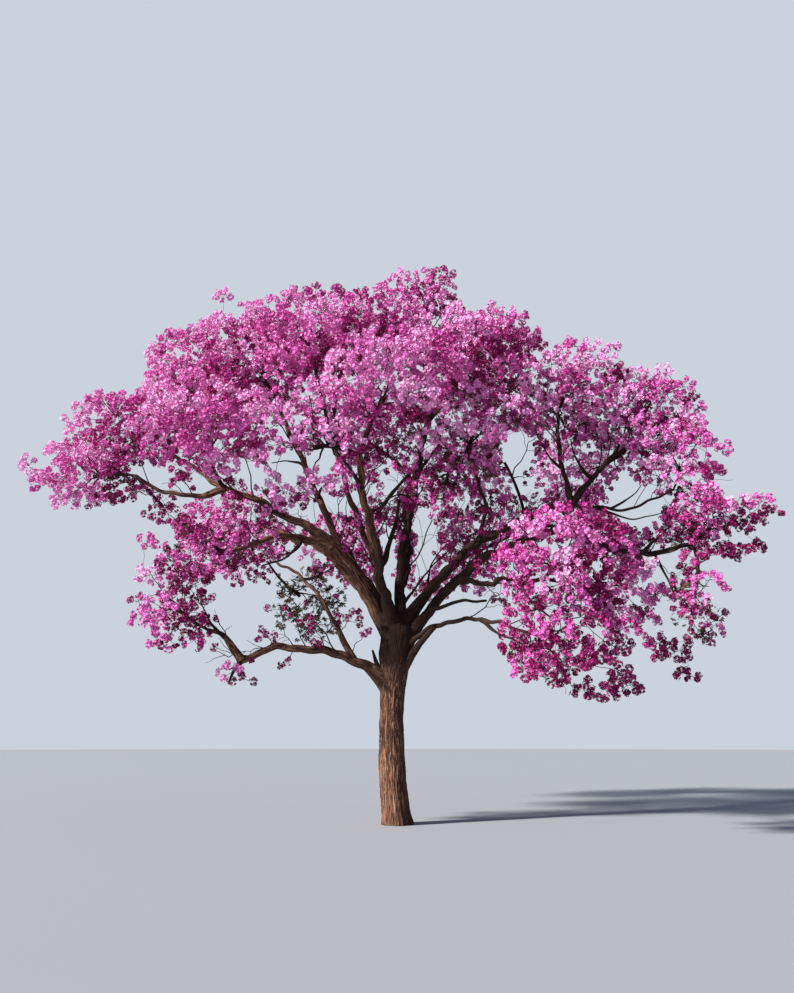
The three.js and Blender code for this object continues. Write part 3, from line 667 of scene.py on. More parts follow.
def grow_twig(wood, spot, order_cost, foot, tip, count, seated=0.0):
    """A twig of one more order from the nearest wood; its foot's radius is worked out from that wood's."""
    leave, radius, way, order = wood.nearest(spot, order_cost, TWIG_BACKSET)
    if np.linalg.norm(leave - spot) > seated:
        line = bent_line(leave, way, spot, TWIG_SWEEP, count)
        wood.add(line, tapered(foot(radius), tip, count), order + 1)


leafy = np.array([LEAFY.get(name, 0) for name in names])
leaf_draws = Draws(LEAF_SEED)
tuft_at, tuft_tone, leaf_at = [], [], []
little_count = 0
for mass in range(len(names)):
    wood, draws, obstacles = woods[mass], draws_of[mass], obstacles_of(mass)
    large = sprays_of[mass]
    wanted = round(surface_of(mass) * LITTLE_PER_M2 * fullness[mass])
    both = place_sprays(mass, wanted, LITTLE_RADIUS, draws, list(large), **LITTLE)
    little = both[len(large):]
    little_count += len(little)
    for spray in sorted(little, key=lambda one: np.linalg.norm(one["at"] - stems[mass].a)):
        grow_twig(
            wood, spray["at"], 2 * TUFT_ORDER_COST, lambda radius: max(TWIG_LEAST, radius * FINER),
            LITTLE_TIP, LITTLE_POINTS,
        )
    for spray in both:
        spots = deal_tufts(mass, spray, draws, obstacles)
        if not len(spots):
            continue
        within = (spray["at"] - centres[mass]) / halves[mass]
        # Painted light and shade: a spray on the sunny side of its mass gets a lighter tint, on top of its
        # mass's tone, and chance varies it.
        tone = tones[mass] + SUN_TONE * within @ SUN_FROM + TONE_VARIES * draws.either_way()
        near = np.linalg.norm(spots - spray["at"], axis=1).argsort()
        for spot in spots[near]:
            grow_twig(
                wood, spot, TUFT_ORDER_COST, lambda radius: min(radius, max(FINE_FOOT, radius * FINER)),
                FINE_TIP, FINE_POINTS, TUFT_SEATED,
            )
            if leaf_draws.take(1)[0] < leafy[mass]:
                leaf_at.append(spot)
            else:
                tuft_at.append(spot)
                tuft_tone.append(tone)
twig_count = sum(len(wood.lines) for wood in woods)
print(little_count, "little sprays,", len(tuft_at), "tufts,", twig_count, "twigs")

# %% [markdown]
# The boughs aren't bare between the fork and the masses: thin shoots leave them all along, slant up, and
# carry a few tufts each. They fill the inside of the crown with fine dark lines and scattered flowers.
# %% Shoots along the boughs
SHOOT_STEP = 300 * MM
SHOOT_SHARES = (0.24, 0.98)  # the first and the last share of a limb at which one leaves
SHOOT_LENGTHS = (0.5, 1.35)
SHOOT_FOOT = 7 * MM  # a shoot's radius where it leaves, and what each metre of its length adds
SHOOT_GIRTH = 11 * MM
SHOOT_OF_LIMB = 0.35  # greatest radius of its foot, as a share of the limb's there
SHOOT_AHEAD, SHOOT_ASIDE, SHOOT_UP = 0.6, 0.8, 0.2  # its heading: along the limb, out from it, and up
SHOOT_OVER = (0.25, 0.75)  # how far over the limb the middle of its headings lies, and how they spread
SHOOT_KEEPS = 0.7  # how much of the limb's own direction it leaves in
SHOOT_RISE = 0.12
SHOOT_ROOM = 80  # the most pieces in the wood of one shoot
SHOOT_SEED = 977
SHOOT_POINTS = 7
SHOOT_CLEAR = 60 * MM
SHOOT_IN_LANE = 50 * MM
SHOOT_REACH = 0.95  # how far a shoot may reach up in the nearest mass, as a share of its half sizes
SHOOT_TUFTS = 5
SHOOT_HEAD_BACK = 0.25  # how far behind its end the middle of its tufts lies, as a share of its length
SHOOT_HEAD = (0.21, 0.15)  # how far round that middle they stand, and what each metre of its length adds
# Shoots inside the crown get deeper tints than their mass, as painted shade.
SHOOT_TONE, SHOOT_TONE_VARIES = -0.5, 0.8
SIDE_TWIGS = 3  # thin twigs that leave each shoot
SIDE_POINTS = 5
SIDE_LENGTH = 0.42  # as a share of the shoot's
SIDE_GIRTH = 0.45
SIDE_SPREAD = 1.6
SIDE_TIP = 0.8 * TWIG_TIP
SIDE_IN_LANE = 30 * MM
BARE = ("low_left_drop", "low_left_rise", "trunk_sprout", "bare_thin", "bare_low", "mid_right")
SPARSE = {"low_left": 0.25, "low_left_end": 0.4, "left_upright": 0.5, "low_right": 0.5, "right_thin": 0.5}
draws = Draws(SHOOT_SEED)


def add_tuft(wood, spot, tone):
    """A tuft at the end of its own fine twig from the nearest piece of the wood."""
    grow_twig(wood, spot, TUFT_ORDER_COST, lambda radius: min(radius, FINE_FOOT), FINE_TIP, FINE_POINTS)
    tuft_at.append(spot)
    tuft_tone.append(tone)


def shoot_heading(way, turn):
    """Ahead along the limb, out from it to the side that the turn says, seldom down, and a little up."""
    aside = np.cross(way, UP)
    aside /= np.linalg.norm(aside)
    over = np.cross(aside, way)
    out = math.cos(turn) * aside + (SHOOT_OVER[0] + SHOOT_OVER[1] * math.sin(turn)) * over
    heading = SHOOT_AHEAD * way + SHOOT_ASIDE * out + SHOOT_UP * UP
    return heading / np.linalg.norm(heading)


def add_side_twig(shoot, path, heading, length, thick):
    turned = draws.take(4)
    at = path[2 + int(turned[0] * (SHOOT_POINTS - 2))]
    away = heading + SIDE_SPREAD * (turned[1:] - 0.5)
    tip = at + SIDE_LENGTH * length * away / np.linalg.norm(away)
    line = bent_line(at, heading, tip, TWIG_SWEEP, SIDE_POINTS)
    if not in_lane(line, SIDE_IN_LANE).any() and clear_of(limb_pieces, line[2:], SHOOT_CLEAR).all():
        shoot.add(line, tapered(SIDE_GIRTH * thick, SIDE_TIP, SIDE_POINTS), 2)


shoots = []
for name in (*BOUGHS, *BRANCHES):
    limb = limbs[name]
    count = 0 if name in BARE else int(limb.reach / SHOOT_STEP)
    for place in range(count):
        drawn = draws.take(5)
        share = mix(*SHOOT_SHARES, (place + drawn[0]) / count)
        root, way = limb.points(share)[0], direction(limb, share)
        heading = shoot_heading(way, 2 * math.pi * drawn[1])
        length = mix(*SHOOT_LENGTHS, drawn[2])
        end = root + length * (heading + SHOOT_RISE * UP)
        leaves_in = SHOOT_KEEPS * way + (1 - SHOOT_KEEPS) * heading
        path = bent_line(root, leaves_in, end, TWIG_SWEEP, SHOOT_POINTS)
        free = path[SHOOT_POINTS // 2:]
        out = shares_of_spaces(end[None])[0]
        mass = int(out.argmin())
        if end[2] > centres[mass][2] and out[mass] > SHOOT_REACH:
            continue
        if in_lane(free, SHOOT_IN_LANE).any() or not clear_of(limb_pieces, free, SHOOT_CLEAR).all():
            continue
        thick = min(SHOOT_OF_LIMB * float(limb.radii(share)), SHOOT_FOOT + SHOOT_GIRTH * length)
        shoot = Wood(SHOOT_ROOM)
        shoot.add(path, tapered(thick, TWIG_TIP, SHOOT_POINTS), 1)
        for side in range(SIDE_TWIGS):
            add_side_twig(shoot, path, heading, length, thick)
        tufts = round(SHOOT_TUFTS * drawn[3] * SPARSE.get(name, 1) + 0.5)
        offs = 2 * draws.take(3 * tufts).reshape(tufts, 3) - 1
        head = SHOOT_HEAD[0] + SHOOT_HEAD[1] * length
        spots = end - SHOOT_HEAD_BACK * length * heading + head * offs
        for spot in spots[~in_lane(spots, SIDE_IN_LANE) & clear_of(limb_pieces, spots, TUFT_CLEAR)]:
            add_tuft(shoot, spot, tones[mass] + SHOOT_TONE + SHOOT_TONE_VARIES * (drawn[4] - 0.5))
        shoots.append(shoot)
print(len(shoots), "shoots;", len(tuft_at), "tufts in all")

# %% [markdown]
# A few sprigs break the outline: one stands up from the dome, some hang below the right side, and some grow
# straight from the old wood. Each is a small spray with a place of its own, given with its radius in
# millimetres, and a twig from the nearest wood.
# %% Sprigs
SPRIG_FILL = 1.25  # a sprig is fuller than a spray of its size
SPRIG_FOOT = 13 * MM
SPRIG_OF_WOOD = 0.7  # the radius of its foot, as a share of the wood that it leaves
SPRIGS = MM * np.array([
    [-4350, 500, 12230, 230],
    [5350, 600, 10870, 200],
    [5470, -1000, 3230, 400],
    [5710, -1000, 2820, 260],
    [5160, -1000, 3460, 260],
    [7080, -800, 5370, 290],
    [7550, -800, 5480, 220],
    [6610, -800, 5370, 320],
    [-5040, -1500, 5390, 230],
    [-980, -400, 4010, 320],
    [-640, -400, 3720, 180],
    [-2670, -500, 3660, 250],
    [-2240, -400, 3100, 170],
    [3980, -3000, 2460, 320],
    [3520, -3000, 2360, 240],
    [-3910, -1500, 3400, 220],
])
limb_wood = Wood()
for limb in packed_limbs:
    limb_wood.add(limb.points(shares_of_limb), limb.radii(shares_of_limb), 0)
for row in SPRIGS:
    at, radius = row[:3], row[3]
    mass = int(shares_of_spaces(at[None])[0].argmin())
    found = [wood.nearest(at, 0, TWIG_BACKSET) for wood in (woods[mass], limb_wood)]
    leave, thick, way, order = min(found, key=lambda one: np.linalg.norm(one[0] - at))
    sprig = Wood(SHOOT_ROOM)
    line = bent_line(leave, way, at, TWIG_SWEEP, SHOOT_POINTS)
    foot = min(thick * SPRIG_OF_WOOD, SPRIG_FOOT)
    sprig.add(line, tapered(foot, TWIG_TIP, SHOOT_POINTS), 1)
    placed = radius * np.diag([1, 1, SPRAY_FLATTEN])
    spots = deal_tufts(mass, {"at": at, "radius": radius * SPRIG_FILL, "placed": placed}, draws, limb_pieces)
    tone = tones[mass] + TONE_VARIES * draws.either_way()
    for spot in spots:
        add_tuft(sprig, spot, tone)
    shoots.append(sprig)
woods += shoots
tuft_at, tuft_tone, leaf_at = np.array(tuft_at), np.array(tuft_tone), np.array(leaf_at)
print(len(SPRIGS), "sprigs;", len(tuft_at), "tufts and", len(leaf_at), "bunches of leaves in the whole tree")

# %% [markdown]
# A small helper serves every node tree below, of shapes and of finishes alike. It adds a node, with its
# settings and what goes into its sockets, and hands back the node or one of its outputs. Another turns a
# colour from a hex value, which is written for screens, to the linear numbers that the render works in. The
# last two start a material with no nodes and end it with a Principled shader.
# %% Node and colour helpers
def add(tree, kind, settings=None, into=None, out=None):
    node = tree.nodes.new(kind)
    for key, value in (settings or {}).items():
        setattr(node, key, value)
    for key, value in (into or {}).items():
        if isinstance(value, bpy.types.NodeSocket):
            tree.links.new(value, node.inputs[key])
        else:
            node.inputs[key].default_value = value
    return node if out is None else node.outputs[out]


MATH, TIMES, PLUS = "ShaderNodeMath", {"operation": "MULTIPLY"}, {"operation": "ADD"}
LESS, TIMES_PLUS = {"operation": "SUBTRACT"}, {"operation": "MULTIPLY_ADD"}
SMOOTH, BLEND = {"interpolation_type": "SMOOTHSTEP"}, {"data_type": "RGBA"}
RANGE, MIX, NOISE = "ShaderNodeMapRange", "ShaderNodeMix", "ShaderNodeTexNoise"
MIXED, FIRST, SECOND = 2, 6, 7  # the colour that a mix node gives, and the sockets of its two colours


def linear(hex_value):
    parts = [int(hex_value[i:i + 2], 16) / 255 for i in (1, 3, 5)]
    return [p / 12.92 if p <= 0.04045 else ((p + 0.055) / 1.055) ** 2.4 for p in parts] + [1.0]


def new_material(name):
    material = bpy.data.materials.new(name)
    material.use_nodes = True
    material.node_tree.nodes.clear()
    return material, material.node_tree


def finish_material(tree, values):
    shader = add(tree, "ShaderNodeBsdfPrincipled", {}, values, 0)
    add(tree, "ShaderNodeOutputMaterial", {}, {"Surface": shader})


print("linear rose", [round(v, 3) for v in linear("#e0609f")])

# %% [markdown]
# A tree of Geometry Nodes has named inputs for its sizes, and ends by making its instances real and setting
# the material. It runs as a modifier on a plain object of points or lines, and the result is taken as a
# plain mesh, because the model that is handed on holds no modifiers.
# %% Geometry Nodes helpers
def new_tree(name, inputs):
    tree = bpy.data.node_groups.new(name, "GeometryNodeTree")
    tree.interface.new_socket("Geometry", in_out="INPUT", socket_type="NodeSocketGeometry")
    for label, kind in inputs.items():
        tree.interface.new_socket(label, in_out="INPUT", socket_type=kind)
    tree.interface.new_socket("Geometry", in_out="OUTPUT", socket_type="NodeSocketGeometry")
    return tree, tree.nodes.new("NodeGroupInput").outputs


def finish_tree(tree, geometry, material):
    """Every tree ends in plain meshes with their material on them."""
    geometry = add(tree, "GeometryNodeRealizeInstances", {}, {"Geometry": geometry}, 0)
    dressed = {"Geometry": geometry, "Material": material}
    add(tree, "NodeGroupOutput", {}, {0: add(tree, "GeometryNodeSetMaterial", {}, dressed, 0)})


def run_tree(name, base, tree, values):
    bpy.context.scene.collection.objects.link(base)
    modifier = base.modifiers.new("made by rule", "NODES")
    modifier.node_group = tree
    for item in tree.interface.items_tree:
        if item.in_out == "INPUT" and item.name in values:
            modifier[item.identifier] = values[item.name]
    depsgraph = bpy.context.evaluated_depsgraph_get()
    mesh = bpy.data.meshes.new_from_object(base.evaluated_get(depsgraph), depsgraph=depsgraph)
    bpy.data.objects.remove(base)
    mesh.name = name
    return put_in_scene(name, mesh)


def triangles(piece):
    return sum(len(face.vertices) - 2 for face in piece.data.polygons)


def mesh_of(name, points, faces=()):
    mesh = bpy.data.meshes.new(name)
    mesh.from_pydata([tuple(point) for point in points], [], faces)
    return mesh


def line_object(name, lines):
    curve = bpy.data.curves.new(name, "CURVE")
    curve.dimensions = "3D"
    for points, radii in lines:
        spline = curve.splines.new("POLY")
        spline.points.add(len(points) - 1)
        spline.points.foreach_set("co", np.column_stack([points, np.ones(len(points))]).ravel())
        spline.points.foreach_set("radius", np.asarray(radii, float))
    return bpy.data.objects.new(name, curve)


print("helpers ready")

# %% [markdown]
# Bark of an old trumpet tree: thick grey-brown cork, split along the grain into long flat ridges a few
# centimetres wide, with darker red-brown furrows, and pale dry crusts of lichen on the ridges. Nothing on it
# is glossy. The pattern is read from each limb's own coordinates, across and along, so it follows every
# bend. Above the fork, where the crown shades it, and on the right side, away from the key, the bark is
# darker: that is painted shade. To the left, painted light keeps it pale.
# %% Bark material
FURROW = 36 * MM  # from one furrow to the next
GRAIN = 13.0  # how many times longer than wide a ridge is
SPLITS = {"Scale": 0.9, "Detail": 4.0, "Roughness": 0.68, "Distortion": 0.5}
SPLIT_WIDTH = {"From Min": 0.0, "From Max": 0.13}
BLOTCHES = {"Scale": 4.0, "Detail": 4.0, "Roughness": 0.6}
LICHEN = {"Scale": 11.0, "Detail": 5.0, "Roughness": 0.65}
LICHEN_EDGE = {"From Min": 0.56, "From Max": 0.68, "To Max": 0.5}
# The colour of the painted shade above the fork and on the right side of the trunk.
FORK_SHADE_BARK = "#2b1d17"
CROWN_SHADE_HEIGHTS = {"From Min": 2.35, "From Max": 3.4, "To Max": 0.9}  # m above the ground, where the painted shade of the crown sets in
LIT_LEFT_SIDE = {"From Min": -0.75, "From Max": -0.25, "To Min": 0.22, "To Max": 1.0}  # m across the tree; towards the left, painted light takes back most of that shade
SHADED_RIGHT_SIDE = {"From Min": -0.14, "From Max": 0.24, "To Max": 0.62}  # m across the trunk; painted shade on the right side, away from the key
FINE_GRAIN = {"Scale": 5.0, "Detail": 4.0}
FINE_SHARE = 0.35  # of the relief
RELIEF = {"Strength": 0.7, "Distance": 6 * MM}
DULL = {"To Min": 0.82, "To Max": 0.98}


def furrows(tree, stretched, ends):
    """The noise splits the bark where it is middling: there the result is the first end, else the second."""
    split = add(tree, NOISE, {}, {"Vector": stretched, **SPLITS}, 0)
    off = add(tree, MATH, LESS, {0: split, 1: 0.5}, 0)
    depth = add(tree, MATH, {"operation": "ABSOLUTE"}, {0: off}, 0)
    reach = {"To Min": ends[0], "To Max": ends[1]}
    return add(tree, RANGE, SMOOTH, {"Value": depth, **SPLIT_WIDTH, **reach}, 0)


def bark_material(name, ridge, hollow, crust, rust, furrow):
    material, tree = new_material(name)
    place = add(tree, "ShaderNodeAttribute", {"attribute_name": "limb_place"}, out="Vector")
    along_grain = {"Vector": place, "Scale": (1 / furrow, 1 / furrow, 1 / (furrow * GRAIN))}
    stretched = add(tree, "ShaderNodeMapping", {}, along_grain, 0)
    ridges = furrows(tree, stretched, (0.0, 1.0))
    blotches = add(tree, NOISE, {}, {"Vector": place, **BLOTCHES}, "Fac")
    warm = add(tree, MIX, BLEND, {"Factor": blotches, FIRST: linear(ridge), SECOND: linear(rust)}, MIXED)
    furrowed = add(tree, MIX, BLEND, {"Factor": ridges, FIRST: linear(hollow), SECOND: warm}, MIXED)
    patches = add(tree, NOISE, {}, {"Vector": place, **LICHEN}, "Fac")
    lichen = add(tree, RANGE, SMOOTH, {"Value": patches, **LICHEN_EDGE}, 0)
    on_ridges = add(tree, MATH, TIMES, {0: lichen, 1: ridges}, 0)
    colour = add(tree, MIX, BLEND, {"Factor": on_ridges, FIRST: furrowed, SECOND: linear(crust)}, MIXED)
    position = add(tree, "ShaderNodeTexCoord", out="Object")
    sides = add(tree, "ShaderNodeSeparateXYZ", {}, {0: position})
    across, up = sides.outputs["X"], sides.outputs["Z"]
    # Painted shade: darker above the fork, where the crown shades the bark, and on the right side, away from
    # the key. Painted light keeps the left side paler.
    crown_shade = add(tree, RANGE, SMOOTH, {"Value": up, **CROWN_SHADE_HEIGHTS}, 0)
    dry_patch_and_lit_side = add(tree, RANGE, SMOOTH, {"Value": across, **LIT_LEFT_SIDE}, 0)
    shaded_right = add(tree, RANGE, SMOOTH, {"Value": across, **SHADED_RIGHT_SIDE}, 0)
    fork_shade = add(tree, MATH, TIMES, {0: crown_shade, 1: dry_patch_and_lit_side}, 0)
    dark = add(tree, MATH, {"operation": "MAXIMUM"}, {0: fork_shade, 1: shaded_right}, 0)
    colour = add(tree, MIX, BLEND, {"Factor": dark, FIRST: colour, SECOND: linear(FORK_SHADE_BARK)}, MIXED)
    fine = add(tree, NOISE, {}, {"Vector": stretched, **FINE_GRAIN}, "Fac")
    height = add(tree, MATH, TIMES_PLUS, {0: fine, 1: FINE_SHARE, 2: ridges}, 0)
    bump = add(tree, "ShaderNodeBump", {}, {"Height": height, **RELIEF}, 0)
    rough = add(tree, RANGE, {}, {"Value": fine, **DULL}, 0)
    values = {"Base Color": colour, "Roughness": rough, "Normal": bump, "Specular IOR Level": 0.25}
    finish_material(tree, values)
    return material


bark = bark_material("furrowed_bark", "#b08468", "#37221a", "#cdb49a", "#855a45", FURROW)
twig_bark = bark_material("young_bark", "#4d3c35", "#2b1f1b", "#665d55", "#3d2d27", 16 * MM)
print("materials:", bark.name, twig_bark.name)

# %% [markdown]
# Each limb is a profile of many sides drawn along its centre line. The tree stores on the skin where every
# point is, across and along its limb, and pushes the skin in at the furrows, which a noise stretched along
# the limb gives. Broad lumps keep it from looking turned on a lathe, and the trunk's foot gets the lobes of
# the root flare.
# %% Limbs by Geometry Nodes
LUMPS = {"Scale": 2.6, "Detail": 2.0}
LUMP_SHARE = 0.22  # how far the lumps stand out, as a share of the radius
LOBE_SHARE = 0.35  # how far the flare's lobes stand out, as a share of the flare
ON_POINTS = {"data_type": "FLOAT", "domain": "POINT"}
PLACE_ON_POINTS = {"data_type": "FLOAT_VECTOR", "domain": "POINT"}
STORE = "GeometryNodeStoreNamedAttribute"
tree, given = new_tree("limb skin", {
    "Sides": "NodeSocketInt",
    "Furrow": "NodeSocketFloat",
    "Depth": "NodeSocketFloat",
    "Flare": "NodeSocketFloat",
    "Material": "NodeSocketMaterial",
})
limb_tree = tree
length = add(tree, "GeometryNodeSplineParameter", out="Length")
girth = add(tree, "GeometryNodeInputRadius", out=0)
curve = add(tree, STORE, ON_POINTS, {"Geometry": given["Geometry"], "Name": "along", "Value": length}, 0)
curve = add(tree, STORE, ON_POINTS, {"Geometry": curve, "Name": "girth", "Value": girth}, 0)
circle = add(tree, "GeometryNodeCurvePrimitiveCircle", {}, {"Resolution": given["Sides"], "Radius": 1.0}, 0)
round_share = add(tree, "GeometryNodeSplineParameter", out="Factor")
angle = add(tree, MATH, TIMES, {0: round_share, 1: 2 * math.pi}, 0)
profile = add(tree, STORE, ON_POINTS, {"Geometry": circle, "Name": "around", "Value": angle}, 0)
drawn_along = {"Curve": curve, "Profile Curve": profile, "Scale": girth, "Fill Caps": True}
skin = add(tree, "GeometryNodeCurveToMesh", {}, drawn_along, 0)
along, girth, around = (
    add(tree, "GeometryNodeInputNamedAttribute", {"data_type": "FLOAT"}, {"Name": label}, 0)
    for label in ("along", "girth", "around")
)
cosine = add(tree, MATH, {"operation": "COSINE"}, {0: around}, 0)
across = add(tree, MATH, TIMES, {0: cosine, 1: girth}, 0)
sine = add(tree, MATH, {"operation": "SINE"}, {0: around}, 0)
over = add(tree, MATH, TIMES, {0: sine, 1: girth}, 0)
place = add(tree, "ShaderNodeCombineXYZ", {}, {"X": across, "Y": over, "Z": along}, 0)
skin = add(tree, STORE, PLACE_ON_POINTS, {"Geometry": skin, "Name": "limb_place", "Value": place}, 0)

per_furrow = add(tree, MATH, {"operation": "DIVIDE"}, {0: 1.0, 1: given["Furrow"]}, 0)
per_ridge = add(tree, MATH, {"operation": "DIVIDE"}, {0: per_furrow, 1: GRAIN}, 0)
scale = add(tree, "ShaderNodeCombineXYZ", {}, {"X": per_furrow, "Y": per_furrow, "Z": per_ridge}, 0)
stretched = add(tree, "ShaderNodeVectorMath", TIMES, {0: place, 1: scale}, 0)
ridges = furrows(tree, stretched, (-1.0, 0.0))
lumps = add(tree, NOISE, {}, {"Vector": place, **LUMPS}, 0)
lump = add(tree, MATH, LESS, {0: lumps, 1: 0.5}, 0)
swell = add(tree, MATH, TIMES, {0: lump, 1: LUMP_SHARE}, 0)
swell = add(tree, MATH, TIMES, {0: swell, 1: girth}, 0)
relief = add(tree, MATH, TIMES_PLUS, {0: ridges, 1: given["Depth"], 2: swell}, 0)

falls = add(tree, MATH, TIMES, {0: along, 1: -1 / FLARE_HEIGHT}, 0)
fade = add(tree, MATH, {"operation": "EXPONENT"}, {0: falls}, 0)
lobe = add(tree, MATH, TIMES_PLUS, {0: around, 1: float(FLARE_LOBES), 2: 1.0}, 0)
lobe = add(tree, MATH, {"operation": "COSINE"}, {0: lobe}, 0)
lobes = add(tree, MATH, TIMES_PLUS, {0: lobe, 1: LOBE_SHARE, 2: 1.0}, 0)
flare = add(tree, MATH, TIMES, {0: fade, 1: lobes}, 0)
flare = add(tree, MATH, TIMES, {0: flare, 1: given["Flare"]}, 0)
lift = add(tree, MATH, PLUS, {0: relief, 1: flare}, 0)
normal = add(tree, "GeometryNodeInputNormal", out=0)
offset = add(tree, "ShaderNodeVectorMath", {"operation": "SCALE"}, {0: normal, "Scale": lift}, 0)
skin = add(tree, "GeometryNodeSetPosition", {}, {"Geometry": skin, "Offset": offset}, 0)
finish_tree(tree, skin, given["Material"])
print("limb skin tree:", len(tree.nodes), "nodes")

# %% [markdown]
# The limbs are drawn one by one, from a little inside the wood that they spring from to a rounded tip. The
# trunk's line starts below the ground and is sawn off level with it later. Under the lowest boughs the trunk
# flows out into the bough's underside, and a short curved web is drawn there for it.
# %% Trunk and boughs
TRUNK_STEP = 30 * MM
BOUGH_STEP = 50 * MM
TRUNK_SIDES = 150
SIDE_WIDTH = 17 * MM
LEAST_SIDES = 16
TRUNK_DEPTH = 13 * MM  # of a furrow
BOUGH_DEPTH, DEPTH_OF_BOUGH = 10 * MM, 0.075  # of a furrow at most, and as a share of the bough's radius
BELOW = 250 * MM  # how far below the ground the trunk's line starts, to be sawn off
DOME = ((0.35, 0.93), (0.66, 0.74), (0.88, 0.45), (0.97, 0.2))  # a tip's rings: how far ahead and how wide
CROOKS = ((1.15, 34 * MM), (0.47, 14 * MM))  # length of a crook and how far it strays
SIDE_CROOKS = 1.3  # how many times as often a limb crooks aside as up
STRAIGHT_END = 0.15
FULL_CROOKS = 3  # m, the reach from which a limb's crooks are full
SHOULDER = 0.95  # where the trunk starts to draw in under its boughs
DRAWN_IN = 0.5
SMALL_BOUGH = 115 * MM
BLENDS = (0.4, 0.08)  # what the wood round the foot of a small or a large bough adds to its radius
BLEND_LENGTH = 2.2
FORK_SHARE = 0.9
WEBS = {  # how far a web starts below its bough's foot, and how far out it ends, in metres
    "low_left": (0.42, 0.62),
    "low_right": (0.8, 1.0),
    "left": (0.6, 0.8),
    "right": (0.5, 0.8),
    "centre_front": (0.8, 0.75),
}
WEB_STEPS, WEB_SIDES, WEB_DEPTH = 18, 44, 7 * MM
WEB_FOOT = 125 * MM
WEB_DROOP = 0.22  # how far a web's bend hangs, as a share of its drop
WEB_END = 0.96  # its radius at the bough, as a share of the bough's


def crooked(limb, shares):
    """Small bends on the way, none at either end, so that what springs there still fits."""
    ends = ease(shares / STRAIGHT_END) * ease((1 - shares) / STRAIGHT_END) * min(1, limb.reach / FULL_CROOKS)
    stray = np.zeros((len(shares), 3))
    for turn, (length, far) in enumerate(CROOKS):
        angle = 2 * math.pi * shares * limb.reach / length + limb.phase * (turn + 2)
        up, aside = np.sin(angle), np.cos(SIDE_CROOKS * angle)
        stray += far * (up[:, None] * UP + aside[:, None] * limb.side)
    return stray * ends[:, None]


def limb_line(limb, step, reach, start=0.0):
    shares = np.linspace(start, 1, round(reach * (1 - start) / step) + 1)
    points, radii = limb.points(shares), limb.radii(np.maximum(shares, 0))
    if start < 0:
        radii = radii * (1 - DRAWN_IN * ease((shares - SHOULDER) / (1 - SHOULDER)))
    else:
        points = points + crooked(limb, shares)
        blend = BLENDS[0] if limb.foot_radius < SMALL_BOUGH else BLENDS[1]
        out = np.maximum(0, shares * limb.reach - limbs["trunk"].radii(FORK_SHARE))
        radii = radii * (1 + blend * np.exp(-out / (BLEND_LENGTH * limb.foot_radius)))
    way, tip = direction(limb, 1), radii[-1]
    domed = [points[-1] + way * tip * ahead for ahead, _ in DOME]
    return np.vstack([points, domed]), np.concatenate([radii, [tip * share for _, share in DOME]])


def web_line(limb, drop, out):
    """The wood that flows from the trunk into the underside of a bough: a short curve below the bough."""
    foot, half, end = limb.points(np.array([0.0, 0.5 * out / limb.reach, out / limb.reach]))
    shares = np.linspace(0, 1, WEB_STEPS)
    bend = foot + 0.5 * (half - foot) - WEB_DROOP * drop * UP
    last = WEB_END * limb.radii(np.array([out / limb.reach]))[0]
    return bezier(foot - drop * UP, bend, end, shares), mix(WEB_FOOT, last, shares)


def skin_of(name, line, sides, depth, flare=0.0):
    values = {"Sides": sides, "Furrow": FURROW, "Depth": depth, "Flare": flare, "Material": bark}
    return run_tree(name, line_object(name, [line]), limb_tree, values)


trunk_line = limb_line(limbs["trunk"], TRUNK_STEP, TRUNK_HEIGHT, -BELOW / TRUNK_HEIGHT)
flare_below = FLARE * math.exp(BELOW / FLARE_HEIGHT)
skins = [skin_of("trunk_skin", trunk_line, TRUNK_SIDES, TRUNK_DEPTH, flare_below)]
for name in BOUGHS:
    limb = limbs[name]
    sides = round(max(LEAST_SIDES, 2 * math.pi * limb.foot_radius / SIDE_WIDTH))
    depth = min(BOUGH_DEPTH, DEPTH_OF_BOUGH * limb.foot_radius)
    skins.append(skin_of(f"{name}_skin", limb_line(limb, BOUGH_STEP, limb.reach), sides, depth))
for name, web in WEBS.items():
    skins.append(skin_of(f"{name}_web_skin", web_line(limbs[name], *web), WEB_SIDES, WEB_DEPTH))
print("skins:", len(skins), "with", sum(map(triangles, skins)), "triangles")

# %% [markdown]
# The skins overlap where a bough stands in the trunk. A union joins them one after another into one closed
# skin, and a block below the ground saws the trunk off level.
# %% Union of the skins
def block(name, low, high):
    corners = [(x, y, z) for x in (low[0], high[0]) for y in (low[1], high[1]) for z in (low[2], high[2])]
    faces = [(0, 1, 3, 2), (4, 6, 7, 5), (0, 4, 5, 1), (2, 3, 7, 6), (0, 2, 6, 4), (1, 5, 7, 3)]
    return put_in_scene(name, mesh_of(name, corners, faces))


ground_cut = block("ground_cut", (-2, -2, -1), (2, 2, 0))
whole = skins[0]
for other in skins[1:]:
    union = whole.modifiers.new("join", "BOOLEAN")
    union.operation, union.solver, union.object = "UNION", "MANIFOLD", other
cut = whole.modifiers.new("saw", "BOOLEAN")
cut.operation, cut.solver, cut.object = "DIFFERENCE", "MANIFOLD", ground_cut
depsgraph = bpy.context.evaluated_depsgraph_get()
joined = bpy.data.meshes.new_from_object(
    whole.evaluated_get(depsgraph), preserve_all_data_layers=True, depsgraph=depsgraph
)
for one in [*skins, ground_cut]:
    bpy.data.objects.remove(one)
wood_piece = put_in_scene("trunk_and_boughs", joined)
joined.shade_smooth()
print("bark:", triangles(wood_piece), "triangles; attributes", [a.name for a in joined.attributes])

